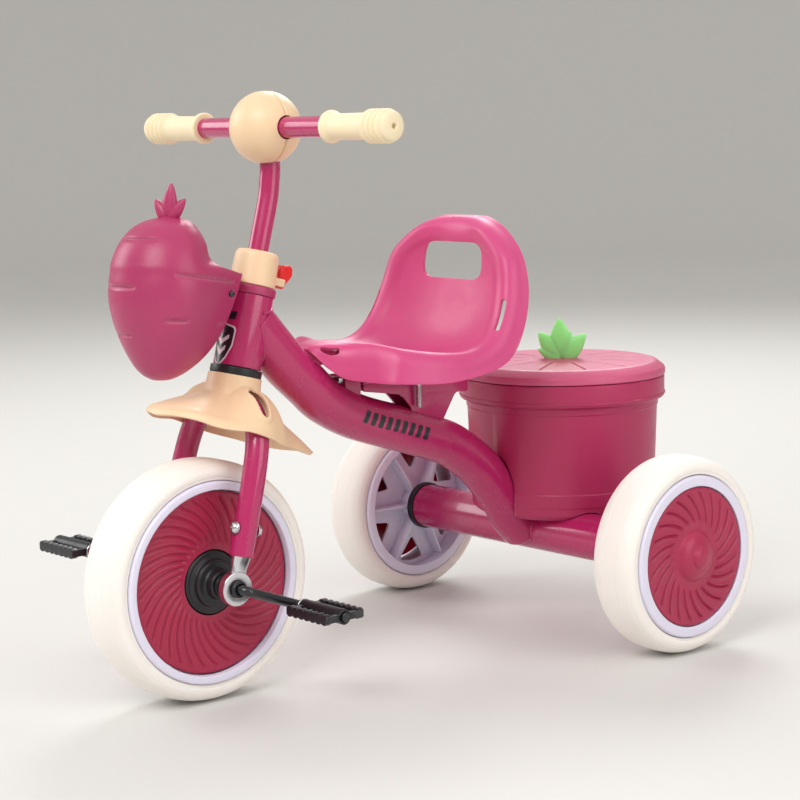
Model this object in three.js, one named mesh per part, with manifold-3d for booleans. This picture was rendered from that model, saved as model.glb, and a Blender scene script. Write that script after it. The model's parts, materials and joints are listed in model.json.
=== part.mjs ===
// Children's tricycle: steel tube frame, direct-drive front wheel, bucket seat, front basket, rear bin.
// Millimetres. +Z is up, +X is the rider's left and -Y is the direction of travel.
// Everything is laid out from the middle of the rear axle line; the last lines move the whole
// tricycle so that the origin is at the bottom centre of its box.
import * as THREE from 'three';
import { mergeVertices } from 'three/addons/utils/BufferGeometryUtils.js';
import { ParametricGeometry } from 'three/addons/geometries/ParametricGeometry.js';
import Module from 'manifold-3d';

// ---------- driving dimensions ----------
const GAP = 0.35;                       // air left between pieces that touch
const WHEELBASE = 465.6;
const REAR_AXLE_Y = 209;                // rear axle line, from the middle of the tricycle's length
const FRONT_WHEEL = { radius: 120, halfWidth: 29.9, coverRadius: 90.8, lipRadius: 101.4, coverAt: 24 };
const REAR_WHEEL = { radius: 105, halfWidth: 27.4, coverRadius: 73.6, lipRadius: 86.5, coverAt: 27 };
const REAR_WHEEL_X = 215.4;
const WHEEL_SIDES = 32;                 // one flat of the tread faces straight down
const RIM_SIDES = 16;
const STEER_TILT = THREE.MathUtils.degToRad(15.2);
const AXLE_RADIUS = 5;

// heights along the steering axis, measured from the front axle
const LOWER_BUSH = { from: 204.5, to: 212.6, radius: 25.8 };
const HEAD_TUBE = { from: 213, to: 286, radius: 24, wall: 2 };
const UPPER_RING = { from: 286.4, to: 295, radius: 25.2 };
const SLEEVE = { from: 295.4, to: 330.5, radius: 22.5 };
const STEERER = { from: 170, to: 325, radius: 14, bore: 10.9 };
const STEM_RADIUS = 10.3;
const STEM_FROM = 236;
const HANDLEBAR = { y: -365.2, z: 560.8, halfLength: 195, radius: 10.5, ballRadius: 37.2 };

const LEG_RADIUS = 11.8;
const LEG_FOOT = { x: 62, at: 31 };
const EYE = { radius: 16, half: 4.5, bore: 8.2, neckTop: 30.6 };
const EYE_BOLT = { x: 60.5, at: 58, radius: 3 };
const CRANK = { length: 70, drop: THREE.MathUtils.degToRad(21), arm: 79, spindleEnd: 151.5 };
const PEDAL = { from: 87.5, to: 149, half: 24.5, thickness: 13 };

const AXLE_TUBE = { radius: 25.6, half: 176, wall: 2 };
const AXLE_CAP = { plug: 23.2, depth: 26, radius: 27.6, end: 186 };
const AXLE_NUT = { radius: 9, from: 223.6, to: 230 };
const MAIN_TUBE_RADIUS = 24.4;
const MAIN_TUBE_WALL = 2;
const TUBE_STEPS = 13;
const TUBE_SIDES = 12;
const BIN = { y: 50, topRadius: 109, footRadius: 104, rimRadius: 118.5, wall: 2.5,
  foot: 122, rimFrom: 250, rimTo: 274.5, lidTop: 292 };
const SHEET = 3.5;                      // moulded plastic of the seat, fender and basket

// ---------- finishes ----------
const finish = (color, roughness, metalness = 0) =>
  new THREE.MeshStandardMaterial({ color, roughness, metalness });
const FINISHES = {
  paint: () => finish(0xb22860, 0.25, 0.2),
  seat: () => finish(0xe75f91, 0.38),
  bin: () => finish(0xaa2d50, 0.42),
  cover: () => finish(0xa52346, 0.4),
  basket: () => finish(0xc8466e, 0.4),
  cream: () => finish(0xeecda5, 0.45),
  grip: () => finish(0xf0e1b4, 0.6),
  foam: () => finish(0xf0e8e1, 0.8),
  rim: () => finish(0xd7d2eb, 0.4),
  leaf: () => finish(0x8cf082, 0.4),
  lever: () => finish(0xe11e23, 0.35),
  black: () => finish(0x191a1e, 0.5),
  steel: () => finish(0xc8c8cc, 0.25, 0.9),
};

// ---------- solids ----------
const kernel = await Module();
kernel.setup();

function solid(geometry) {
  const bare = geometry.clone();
  for (const name of Object.keys(bare.attributes)) {
    if (name !== 'position') bare.deleteAttribute(name);
  }
  const merged = mergeVertices(bare, 1e-4);
  return new kernel.Manifold(new kernel.Mesh({
    numProp: 3,
    vertProperties: new Float32Array(merged.attributes.position.array),
    triVerts: new Uint32Array(merged.index.array),
  }));
}

function geometryOf(body) {
  const mesh = body.getMesh();
  const geometry = new THREE.BufferGeometry();
  geometry.setAttribute('position', new THREE.BufferAttribute(mesh.vertProperties, 3));
  geometry.setIndex(new THREE.BufferAttribute(mesh.triVerts, 1));
  geometry.computeVertexNormals();
  return geometry;
}

const join = (...pieces) => geometryOf(pieces.map(solid).reduce((sum, next) => sum.add(next)));
const cut = (piece, ...tools) =>
  geometryOf(tools.map(solid).reduce((rest, tool) => rest.subtract(tool), solid(piece)));

function node(name, geometry, material, parent, position = [0, 0, 0]) {
  const mesh = new THREE.Mesh(geometry, FINISHES[material]());
  mesh.name = name;
  mesh.position.set(...position);
  parent.add(mesh);
  return mesh;
}

// A turned piece. The profile is a closed loop or starts and ends on the axis: pairs of
// [radius, height]. The turning axis becomes +X, +Y or +Z.
function turned(profile, sides, axis = 'z', closed = false) {
  const points = profile.map(([r, h]) => new THREE.Vector2(r, h));
  if (closed) points.push(points[0].clone());
  const area = points.reduce((sum, p, i) => {
    const q = points[(i + 1) % points.length];
    return sum + p.x * q.y - q.x * p.y;
  }, 0);
  if (area < 0) points.reverse();
  const geometry = new THREE.LatheGeometry(points, sides, Math.PI / sides);
  if (axis === 'z') geometry.rotateX(Math.PI / 2);
  if (axis === 'x') geometry.rotateZ(-Math.PI / 2);
  return geometry;
}

const rod = (radius, from, to, axis = 'z', sides = 16) =>
  turned([[0, from], [radius, from], [radius, to], [0, to]], sides, axis);
const pipe = (radius, bore, from, to, axis = 'z', sides = 20) =>
  turned([[bore, from], [radius, from], [radius, to], [bore, to]], sides, axis, true);

// A round bar or pipe that follows a smooth line through the points.
function swept(points, radius, steps, sides = 16, bore = 0) {
  const circle = (shape, r) => shape.absarc(0, 0, r, 0, 2 * Math.PI, false);
  const section = circle(new THREE.Shape(), radius);
  if (bore > 0) section.holes.push(circle(new THREE.Path(), bore));
  const line = points.length === 2
    ? new THREE.LineCurve3(...points.map((p) => new THREE.Vector3(...p)))
    : new THREE.CatmullRomCurve3(points.map((p) => new THREE.Vector3(...p)), false, 'centripetal');
  return new THREE.ExtrudeGeometry(section, { steps, curveSegments: sides / 2, extrudePath: line });
}

function block(sizeX, sizeY, sizeZ, x = 0, y = 0, z = 0) {
  return new THREE.BoxGeometry(sizeX, sizeY, sizeZ).translate(x, y, z);
}

// An outline in the YZ plane, from x = -half to x = +half.
function plateAcross(outline, half, x = 0) {
  const shape = new THREE.Shape(outline.map(([y, z]) => new THREE.Vector2(y, z)));
  const geometry = new THREE.ExtrudeGeometry(shape, { depth: 2 * half, bevelEnabled: false });
  return geometry.translate(0, 0, -half).rotateY(Math.PI / 2).rotateX(Math.PI / 2).translate(x, 0, 0);
}

// Straight lines through a table of [at, value, value, ...] rows.
function between(rows, at) {
  const last = rows.length - 1;
  if (at <= rows[0][0]) return rows[0].slice(1);
  if (at >= rows[last][0]) return rows[last].slice(1);
  const i = rows.findIndex((row) => row[0] > at);
  const share = (at - rows[i - 1][0]) / (rows[i][0] - rows[i - 1][0]);
  return rows[i].slice(1).map((value, k) => THREE.MathUtils.lerp(rows[i - 1][k + 1], value, share));
}

// ---------- the tricycle's groups ----------
const tricycle = new THREE.Group();
const head = new THREE.Group();         // turned so that its +Z is the steering axis
head.position.set(0, -WHEELBASE, FRONT_WHEEL.radius);
head.rotation.x = -STEER_TILT;
tricycle.add(head);
const frontWheel = new THREE.Group();
frontWheel.position.copy(head.position);
tricycle.add(frontWheel);
const SIDES = [['left', 1], ['right', -1]];

const onSteeringAxis = (along) =>
  [0, -WHEELBASE + along * Math.sin(STEER_TILT), FRONT_WHEEL.radius + along * Math.cos(STEER_TILT)];

// ---------- frame tubes ----------
const MAIN_TUBE_LINE = [[-392, 371], [-364, 339], [-346.8, 320.6], [-323.8, 300.4], [-301.8, 281.2],
  [-260.9, 260], [-194.8, 238.5], [-134.3, 217.5], [-113, 206], [-86.3, 187], [-66.3, 166.5],
  [-46, 141.5], [-32, 121], [-16, 105]].map(([y, z]) => [0, y, z]);
const mainTubeSpace = (clearance) =>
  swept(MAIN_TUBE_LINE, MAIN_TUBE_RADIUS + clearance, TUBE_STEPS, TUBE_SIDES);
const axleTubeSpace = (clearance) =>
  rod(AXLE_TUBE.radius + clearance, -400, 400, 'x', 20).translate(0, 0, REAR_WHEEL.radius);
const headTubeSpace = (radius) => rod(radius, 100, 400, 'z', 20).rotateX(-STEER_TILT)
  .translate(0, -WHEELBASE, FRONT_WHEEL.radius);

function mainTube() {
  const tube = swept(MAIN_TUBE_LINE, MAIN_TUBE_RADIUS, TUBE_STEPS, TUBE_SIDES,
    MAIN_TUBE_RADIUS - MAIN_TUBE_WALL);
  return cut(tube, axleTubeSpace(GAP), headTubeSpace(HEAD_TUBE.radius + GAP));
}

function frameTubes() {
  const { radius, wall, from, to } = HEAD_TUBE;
  node('head_tube', pipe(radius, radius - wall, from, to, 'z', 20), 'paint', head);
  node('main_tube', mainTube(), 'paint', tricycle);
  const bore = AXLE_TUBE.radius - AXLE_TUBE.wall;
  const axle = pipe(AXLE_TUBE.radius, bore, -AXLE_TUBE.half, AXLE_TUBE.half, 'x', 20);
  node('rear_axle_tube', axle, 'paint', tricycle, [0, 0, REAR_WHEEL.radius]);
}

// Flanged plastic bushes that carry the steerer in both ends of the head tube.
function headBushes() {
  const plug = HEAD_TUBE.radius - HEAD_TUBE.wall - GAP;
  const bore = STEERER.radius + GAP;
  const depth = 12;
  const bush = ({ from, to, radius }, plugEnd, edge) =>
    turned([[bore, edge], [radius, edge], [radius, edge === from ? to : from],
      [plug, edge === from ? to : from], [plug, plugEnd], [bore, plugEnd]], 16, 'z', true);
  node('head_bush_lower', bush(LOWER_BUSH, LOWER_BUSH.to + depth, LOWER_BUSH.from), 'black', head);
  node('head_bush_upper', bush(UPPER_RING, UPPER_RING.from - depth, UPPER_RING.to), 'paint', head);
}

// ---------- seat ----------
// Stations along the middle of the seat from the nose over the pan to the top of the back:
// [station, y, z, half width, rise of the side, drop of the turned-down edge]
const SEAT_STATIONS = [
  [0.00, -326, 338.5, 17, 0, 4], [0.03, -318, 339, 26, 0, 16], [0.08, -302, 339, 40, 2, 32],
  [0.14, -282, 336, 74, 4, 36], [0.21, -262, 330, 97, 5, 32], [0.33, -222, 321, 110, 8, 26],
  [0.46, -182, 318, 114, 11, 21], [0.56, -150, 327, 114, 17, 22], [0.65, -130, 350, 111, 19, 22],
  [0.77, -118, 386, 105, 14, 22], [0.88, -112, 422, 96, 10, 20], [0.96, -111, 446, 68, 1, 22],
  [1.00, -112, 460, 40, 0, 18],
];
const SEAT_LIP = 0.78;                  // share of the half width where the side turns over
const SEAT_MOUNT = { front: 305, rear: 296, plate: 3 };
// [name, x, y, top of the mount, top of the boss, tip of the bolt]
const SEAT_BOLTS = [['front', 0, -271, SEAT_MOUNT.front, 330, 294.5],
  ['rear_left', 20, -186, SEAT_MOUNT.rear, 316, 263], ['rear_right', -20, -186, SEAT_MOUNT.rear, 316, 263]];
const SEAT_BOLT = { radius: 3, nutRadius: 6, nutHeight: 5, bossRadius: 9, bossRoof: 4 };

// The side of one section, out from the middle: [distance, height] at a share of the half width.
function seatSection(t, half, rise, drop) {
  if (t < SEAT_LIP) return [half * t * 1.12, rise * (t / SEAT_LIP) ** 2.4];
  const over = (t - SEAT_LIP) / (1 - SEAT_LIP);
  return [half * (SEAT_LIP * 1.12 + (1 - SEAT_LIP * 1.12) * over), rise - (drop + rise * 0.4) * over ** 1.6];
}

function seatPoint(station, across, depth) {
  const at = (s) => between(SEAT_STATIONS, THREE.MathUtils.clamp(s, 0, 1));
  const [y, z, half, rise, drop] = at(station);
  const [y0, z0] = at(station - 0.03);
  const [y1, z1] = at(station + 0.03);
  const along = new THREE.Vector2(y1 - y0, z1 - z0).normalize();
  const inward = new THREE.Vector2(-along.y, along.x);
  const t = Math.abs(across);
  const [x, lift] = seatSection(t, half, rise, drop);
  const [xIn, liftIn] = seatSection(Math.max(t - 0.04, 0), half, rise, drop);
  const [xOut, liftOut] = seatSection(t + 0.04, half, rise, drop);
  const slope = new THREE.Vector2(xOut - xIn, liftOut - liftIn).normalize();
  const off = lift - depth * slope.x;
  const side = Math.sign(across) * (x + depth * slope.y);
  return [side, y + inward.x * off, z + inward.y * off];
}

function seatShell() {
  const rows = 15;
  const surface = (u, v, target) => {
    const end = v === 0 || v === 1;
    const station = THREE.MathUtils.clamp((v * rows - 1) / (rows - 2), 0, 1);
    const across = u < 0.5 ? 4 * u - 1 : 3 - 4 * u;
    const rim = u === 0 || u === 1 || u === 0.5;
    const depth = u < 0.5 ? 0 : SHEET;
    target.set(...seatPoint(station, across, end || rim ? SHEET / 2 : depth));
  };
  const shell = new ParametricGeometry(surface, 20, rows);
  const { radius, bossRadius, bossRoof } = SEAT_BOLT;
  const bosses = SEAT_BOLTS.map(([, x, y, mount, top]) =>
    rod(bossRadius, mount + GAP, top, 'z', 12).translate(x, y, 0));
  const holes = SEAT_BOLTS.map(([, x, y, mount, top]) =>
    rod(radius + GAP, mount, top - bossRoof, 'z', 10).translate(x, y, 0));
  const handle = swept([[0, -200, 411], [0, -60, 415]], 18, 1, 10).scale(2.4, 1, 1);
  const sideSlots = SIDES.map(([, s]) => block(6, 90, 34, s * 99, -134, 363));
  const noseSlots = SIDES.map(([, s]) => block(40, 18, 4, s * 34, -309, 328.5));
  return cut(join(shell, ...bosses), mainTubeSpace(GAP), handle, ...sideSlots, ...noseSlots, ...holes);
}

// A channel bar under the seat stands on the main tube by a gusset at the rear and a yoke in front.
const SEAT_BAR = { from: -257, to: -109, half: 13.5, webAt: 12,
  gusset: [[-109, 271], [-127, 273], [-152, 235], [-185, 240], [-192, 264], [-206, 278], [-257, 286]] };

function seatMounts() {
  const { front, rear, plate } = SEAT_MOUNT;
  const { from, to, half, webAt, gusset } = SEAT_BAR;
  const holes = SEAT_BOLTS.map(([, x, y]) =>
    rod(SEAT_BOLT.radius + GAP, 250, 310, 'z', 10).translate(x, y, 0));
  const web = [[from, rear - plate], [to, rear - plate], ...gusset];
  const barTop = rear - plate / 2;
  const rearBracket = join(block(2 * half, to - from, plate, 0, (from + to) / 2, barTop),
    block(60, 24, plate, 0, -186, barTop),
    ...SIDES.map(([, s]) => plateAcross(web, plate / 2, s * webAt)));
  node('seat_bracket_rear', cut(rearBracket, mainTubeSpace(GAP), ...holes), 'paint', tricycle);
  const foot = 262;
  const cheeks = [-1, 1].map((e) => block(plate, 20, front - foot, e * webAt, -271, (front + foot) / 2));
  const frontBracket = join(block(2 * half, 24, plate, 0, -271, front - plate / 2), ...cheeks);
  node('seat_bracket_front', cut(frontBracket, mainTubeSpace(GAP), ...holes), 'paint', tricycle);
}

// Each bolt is moulded into its boss by its upper end and holds the mount with a nut from below.
function seatBolts() {
  const { radius, nutRadius, nutHeight, bossRoof } = SEAT_BOLT;
  for (const [name, x, y, mount, top, tip] of SEAT_BOLTS) {
    const nut = mount - SEAT_MOUNT.plate - GAP;
    const profile = [[0, tip], [radius, tip], [radius, nut - nutHeight], [nutRadius, nut - nutHeight],
      [nutRadius, nut], [radius, nut], [radius, top - bossRoof - GAP], [0, top - bossRoof - GAP]];
    node(`seat_bolt_${name}`, turned(profile, 10), 'steel', tricycle, [x, y, 0]);
  }
}

// ---------- basket on the head tube ----------
// A carrot: an egg in front, whose flat-sided back reaches to the head tube below the mouth.
// [height, middle y, half width, half depth, half width of the back, y of the back]
const BASKET_LEVELS = [[321, -500, 0, 0, 0, -499], [322.5, -500, 10, 10, 6, -489],
  [330, -499, 23, 22, 14, -474], [342, -498, 33, 31, 19, -456], [357, -497, 41, 39, 23, -441],
  [375, -496, 49, 46, 26, -429], [396, -495, 54, 51, 29, -419], [412, -494.5, 55, 51.5, 30, -412],
  [427, -494, 53, 50, 30, -412], [436, -494, 51.5, 48.5, 27, -446], [453, -493, 44.5, 42, 23, -451],
  [467, -490.5, 34, 32, 17, -459.5], [475, -487.5, 21, 20, 10, -467.5], [479.5, -486, 0, 0, 0, -486]];
const BASKET_REAR_WALL_Y = -419;
const BASKET_SCREW = { y: -443, z: 403, head: 41.4, bossRadius: 6 };

// A point on one level, at an angle from the front round to the back.
function basketPoint(level, angle, shrink) {
  const [z, y, a, b, rear, rearY] = level;
  const turn = angle <= Math.PI ? angle : 2 * Math.PI - angle;
  const side = angle <= Math.PI ? 1 : -1;
  const less = (size) => Math.max(size - shrink, 0);
  if (turn <= Math.PI / 2) return [side * less(a) * Math.sin(turn), y - less(b) * Math.cos(turn), z];
  const way = (turn - Math.PI / 2) / (Math.PI / 2);
  const depth = less(rearY - y);
  const corner = 0.8;                   // share of the way where the side turns into the back
  const cornerDepth = 0.86;
  if (way < corner) {
    const share = way / corner;
    const x = THREE.MathUtils.lerp(less(a), less(rear), share ** 1.7);
    return [side * x, y + cornerDepth * depth * share, z];
  }
  const share = (way - corner) / (1 - corner);
  return [side * less(rear) * (1 - share), y + depth * THREE.MathUtils.lerp(cornerDepth, 1, share), z];
}

function basketSolid(shrink) {
  const last = BASKET_LEVELS.length - 1;
  const middleZ = 400;
  const surface = (u, v, target) => {
    const [x, y, z] = basketPoint(BASKET_LEVELS[Math.round(v * last)], 2 * Math.PI * (u % 1), shrink);
    const squeeze = 1 - 2 * shrink / (BASKET_LEVELS[last][0] - BASKET_LEVELS[0][0]);
    target.set(x, y, middleZ + (z - middleZ) * squeeze);
  };
  return new ParametricGeometry(surface, 20, last);
}

// Three leaves that stand together, with their feet at z = 0.
function sprout(height, spread, thickness) {
  const leaf = (x, lean, size) => {
    const blade = new THREE.SphereGeometry(1, 8, 6).scale(0.2 * height, thickness, 0.5 * size);
    return blade.translate(0, 0, 0.42 * size).rotateY(lean).translate(x, 0, 0);
  };
  const leaves = join(leaf(0, 0, height * 1.08), leaf(0.12 * spread, 0.72, 0.86 * height),
    leaf(-0.12 * spread, -0.72, 0.86 * height));
  return cut(leaves, block(4 * spread, 4 * spread, height, 0, 0, -height / 2));
}

function basket() {
  const hollow = solid(basketSolid(SHEET))
    .subtract(solid(block(200, 200, 400, 0, BASKET_REAR_WALL_Y + 100, 400)));
  const mouth = [[-470, 500], [-466, 478], [-463, 452], [-461, 438], [-456, 431], [-446, 427.5],
    [-426, 421.5], [-380, 420], [-380, 500]];
  const { y, z, head: headAt, bossRadius } = BASKET_SCREW;
  const acrossSides = (radius, from, to) => SIDES.map(([, s]) => {
    const piece = rod(radius, from, to, 'x', 10);
    return (s < 0 ? piece.rotateZ(Math.PI) : piece).translate(0, y, z);
  });
  const shell = cut(basketSolid(0), geometryOf(hollow), plateAcross(mouth, 90));
  const stalk = sprout(31, 27, 6).rotateZ(0.5).translate(0, -487, 477);
  const whole = join(shell, stalk, ...acrossSides(bossRadius, 20, headAt - 2));
  const pilot = acrossSides(2.4, 24, 60);
  node('front_basket', cut(whole, headTubeSpace(UPPER_RING.radius + GAP), ...pilot), 'basket', tricycle);
  const profile = [[0, 25], [2, 25], [2, headAt], [5, headAt], [3.5, headAt + 3], [0, headAt + 3.4]];
  for (const [side, s] of SIDES) {
    const screw = turned(profile, 10, 'x');
    if (s < 0) screw.rotateZ(Math.PI);
    node(`basket_screw_${side}`, screw, 'steel', tricycle, [0, y, z]);
  }
}

// ---------- rear bin and lid ----------
function bin() {
  const { topRadius, footRadius, rimRadius, wall, foot, rimFrom, rimTo } = BIN;
  const outer = turned([[0, foot], [footRadius - 6, foot], [footRadius, foot + 6], [topRadius, rimFrom],
    [rimRadius, rimFrom], [rimRadius, rimTo], [0, rimTo]], 24);
  const inner = turned([[0, foot + wall], [footRadius - wall - 4, foot + wall],
    [footRadius - wall, foot + 8], [topRadius - wall, rimFrom], [topRadius - wall, rimTo + 5],
    [0, rimTo + 5]], 24);
  const inPlace = (piece) => piece.translate(0, BIN.y, 0);
  const hollow = cut(inPlace(inner), axleTubeSpace(GAP + wall), mainTubeSpace(GAP + wall));
  const screwHoles = SIDES.map(([, s]) => rod(2.5, 120, 150, 'z', 10).translate(s * 60, 0, 0));
  const body = cut(inPlace(outer), axleTubeSpace(GAP), mainTubeSpace(GAP), hollow, ...screwHoles);
  node('bin_body', body, 'bin', tricycle);
  const floor = REAR_WHEEL.radius + AXLE_TUBE.radius + GAP + wall;
  const profile = [[0, floor - 2.4], [2, floor - 2.4], [2, floor + GAP], [5, floor + GAP], [4, floor + 3],
    [0, floor + 3.4]];
  for (const [side, s] of SIDES) {
    node(`bin_screw_${side}`, turned(profile, 10), 'steel', tricycle, [s * 60, 0, 0]);
  }
}

function binLid() {
  const seatZ = BIN.rimTo + GAP;
  const skirt = BIN.topRadius - BIN.wall - 1;
  const profile = [[0, BIN.lidTop - 3], [104, 286], [skirt - 2.5, 280], [skirt - 2.5, 262], [skirt, 262],
    [skirt, seatZ], [117.5, seatZ], [117.5, seatZ + 2.5], [113, 279], [107, 289], [60, BIN.lidTop - 1],
    [0, BIN.lidTop]];
  node('bin_lid', turned(profile, 24), 'bin', tricycle, [0, BIN.y, 0]);
  node('lid_leaf', sprout(48, 40, 9).rotateZ(0.75), 'leaf', tricycle, [0, BIN.y, BIN.lidTop + GAP]);
}

// ---------- rear axle ----------
function rearAxle() {
  const z = REAR_WHEEL.radius;
  node('rear_axle_rod', rod(AXLE_RADIUS, -232, 232, 'x', 12), 'steel', tricycle, [0, 0, z]);
  for (const [side, s] of SIDES) {
    const bore = AXLE_RADIUS + GAP;
    const seat = AXLE_TUBE.half + GAP;
    const { plug, depth, radius, end } = AXLE_CAP;
    const cap = turned([[bore, seat - depth], [plug, seat - depth], [plug, seat], [radius, seat],
      [radius, end], [bore, end + 1]], 16, 'x', true);
    const nutBore = AXLE_RADIUS + 1.2;
    const nut = turned([[nutBore, AXLE_NUT.from], [AXLE_NUT.radius, AXLE_NUT.from],
      [AXLE_NUT.radius, AXLE_NUT.to], [nutBore, AXLE_NUT.to]], 6, 'x', true);
    if (s < 0) [cap, nut].forEach((piece) => piece.rotateZ(Math.PI));
    node(`axle_cap_${side}`, cap, 'black', tricycle, [0, 0, z]);
    node(`rear_axle_nut_${side}`, nut, 'steel', tricycle, [0, 0, z]);
  }
}

// ---------- wheels ----------
// A tyre whose flats, not its corners, are at the wheel's radius.
function tyre({ radius, halfWidth, lipRadius }) {
  const stretch = 1 / Math.cos(Math.PI / WHEEL_SIDES);
  const w = halfWidth;
  const rows = [[lipRadius, -w + 3], [lipRadius, w - 3], [radius - 12, w], [radius, w - 13]];
  const mirrored = rows.slice(2).reverse().map(([r, x]) => [r, -x]);
  return turned([...rows, ...mirrored].map(([r, x]) => [r * stretch, x]), WHEEL_SIDES, 'x', true);
}

// The plastic wheel body: a barrel with a lip on each side, six spokes and a bored hub.
function rim({ halfWidth, coverRadius, lipRadius, coverAt }, hubHalf) {
  const seat = lipRadius - 0.9;
  const lip = coverRadius + 0.7;
  const edge = halfWidth + 1;
  const barrel = [[seat, -halfWidth + 2], [seat, halfWidth - 2], [seat - 2, edge], [lip, edge],
    [lip + 2, coverAt - 8], [lip + 2, 8 - coverAt], [lip, -edge], [seat - 2, -edge]];
  const pieces = [turned(barrel, RIM_SIDES, 'x', true), rod(17, -hubHalf, hubHalf, 'x', 12)];
  for (let i = 0; i < 3; i += 1) {
    pieces.push(block(11, 2 * lip + 3, 15, 0, 0, 0).rotateX(i * Math.PI / 3));
  }
  return cut(join(...pieces), rod(AXLE_RADIUS + GAP, -60, 60, 'x', 12));
}

const DISC = 2.5;
// A cover that closes one side of a wheel; the middle is a hole or a dome.
function cover(radius, at, middle) {
  const bore = middle.hole;
  const profile = bore
    ? [[bore, at - DISC], [radius, at - DISC], [radius, at], [bore, at]]
    : [[0, at + middle.dome - DISC], [16, at + middle.dome - 5], [24, at - DISC], [radius, at - DISC],
      [radius, at], [26, at], [18, at + middle.dome - 2], [0, at + middle.dome]];
  return turned(profile, RIM_SIDES, 'x', Boolean(bore));
}

function rearWheels() {
  for (const [side, s] of SIDES) {
    const place = [s * REAR_WHEEL_X, 0, REAR_WHEEL.radius];
    const disc = cover(REAR_WHEEL.coverRadius, REAR_WHEEL.coverAt, { dome: 13 });
    if (s < 0) disc.rotateZ(Math.PI);
    const hub = solid(rim(REAR_WHEEL, 27)).subtract(solid(block(40, 60, 60, s * 27.5, 0, 0)));
    node(`rear_tyre_${side}`, tyre(REAR_WHEEL), 'foam', tricycle, place);
    node(`rear_rim_${side}`, geometryOf(hub), 'rim', tricycle, place);
    node(`rear_cover_${side}`, disc, 'cover', tricycle, place);
  }
}

function frontWheelParts() {
  const hubRadius = 31.6;
  node('front_tyre', tyre(FRONT_WHEEL), 'foam', frontWheel);
  node('front_rim', rim(FRONT_WHEEL, 18.5), 'rim', frontWheel);
  for (const [side, s] of SIDES) {
    const disc = cover(FRONT_WHEEL.coverRadius, FRONT_WHEEL.coverAt, { hole: hubRadius + 1.2 });
    const flange = turned([[AXLE_RADIUS + GAP, 18.9], [hubRadius, 18.9], [hubRadius, 25], [24, 27], [24, 33],
      [15, 34], [15, 44], [10, 44], [10, 55.5], [AXLE_RADIUS + GAP, 55.5]], 16, 'x', true);
    if (s < 0) [disc, flange].forEach((piece) => piece.rotateZ(Math.PI));
    node(`front_cover_${side}`, disc, 'cover', frontWheel);
    node(`hub_flange_${side}`, flange, 'black', frontWheel);
  }
}

// ---------- crank and pedals ----------
const crankEnd = (s) =>
  [0, s * CRANK.length * Math.cos(CRANK.drop), -s * CRANK.length * Math.sin(CRANK.drop)];

function crank() {
  const pieces = [rod(AXLE_RADIUS, -CRANK.arm, CRANK.arm, 'x', 16)];
  for (const [, s] of SIDES) {
    const [, y, z] = crankEnd(s);
    pieces.push(block(8, CRANK.length + 14, 13, s * CRANK.arm, 0, 0)
      .rotateX(-CRANK.drop).translate(0, y / 2, z / 2));
    const spindle = rod(4.5, CRANK.arm - 2, CRANK.spindleEnd, 'x', 12);
    if (s < 0) spindle.rotateZ(Math.PI);
    pieces.push(spindle.translate(0, y, z));
  }
  node('crank', join(...pieces), 'black', frontWheel);
}

function pedal(s) {
  const { from, to, half, thickness } = PEDAL;
  const middle = s * (from + to) / 2;
  const length = to - from;
  const sleeve = rod(9, from, to, 'x', 14);
  if (s < 0) sleeve.rotateZ(Math.PI);
  const bars = [-1, 1].map((e) => block(length, 9, thickness, middle, e * (half - 4.5), 0));
  const ends = [from + 3.5, to - 3.5].map((x) => block(7, 2 * half - 2, 12, s * x, 0, 0));
  const bore = rod(4.5 + GAP, 40, 200, 'x', 14);
  if (s < 0) bore.rotateZ(Math.PI);
  return cut(join(sleeve, ...bars, ...ends), bore);
}

function pedals() {
  for (const [side, s] of SIDES) node(`pedal_${side}`, pedal(s), 'black', frontWheel, crankEnd(s));
}

// ---------- fork, fender and steering column ----------
function forkLeg(s) {
  const line = [[LEG_FOOT.x, LEG_FOOT.at], [60.5, 70], [58, 118], [54, 142], [45.5, 161], [32, 172],
    [14.6, 175]];
  const leg = swept(line.map(([x, z]) => [s * x, 0, z]), LEG_RADIUS, 9, 12);
  const boltHole = rod(EYE_BOLT.radius + GAP, -20, 20, 'y', 10).translate(s * EYE_BOLT.x, 0, EYE_BOLT.at);
  return cut(leg, boltHole, rod(STEERER.radius + GAP, 150, 200, 'z', 20));
}

function fork() {
  const { from, to, radius, bore } = STEERER;
  node('steerer_tube', pipe(radius, bore, from, to, 'z', 20), 'paint', head);
  for (const [side, s] of SIDES) {
    node(`fork_leg_${side}`, forkLeg(s), 'paint', head);
    const ring = pipe(EYE.radius, EYE.bore, LEG_FOOT.x - EYE.half, LEG_FOOT.x + EYE.half, 'x', 20);
    const neckFoot = 11;
    const neck = block(7, 17, EYE.neckTop - neckFoot, LEG_FOOT.x, 0, (EYE.neckTop + neckFoot) / 2);
    const bush = turned([[AXLE_RADIUS + GAP, 56.3], [7.8, 56.3], [7.8, 67.5], [9.4, 67.5], [9.4, 71.5],
      [AXLE_RADIUS + GAP, 71.5]], 18, 'x', true);
    const eye = join(ring, neck);
    if (s < 0) [eye, bush].forEach((piece) => piece.rotateZ(Math.PI));
    node(`fork_eye_${side}`, eye, 'steel', head);
    node(`axle_bush_${side}`, bush, 'black', head);
    const shank = EYE_BOLT.radius;
    const bolt = [[0, -17], [4, -17], [6, -15], [6, -12.4], [shank, -12.4], [shank, 12.4], [5.5, 12.4],
      [5.5, 17], [shank, 17], [shank, 19], [0, 19]];
    node(`eye_bolt_${side}`, turned(bolt, 10, 'y'), 'steel', head, [s * EYE_BOLT.x, 0, EYE_BOLT.at]);
  }
}

// Outer edge of the fender: reach from the steering axis forward, to the side and rearward.
const FENDER = { front: 86, side: 69, rear: 106, frontEdge: 154, sideEdge: 143, rearEdge: 146 };
const FENDER_NECK = 22.5;

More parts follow.
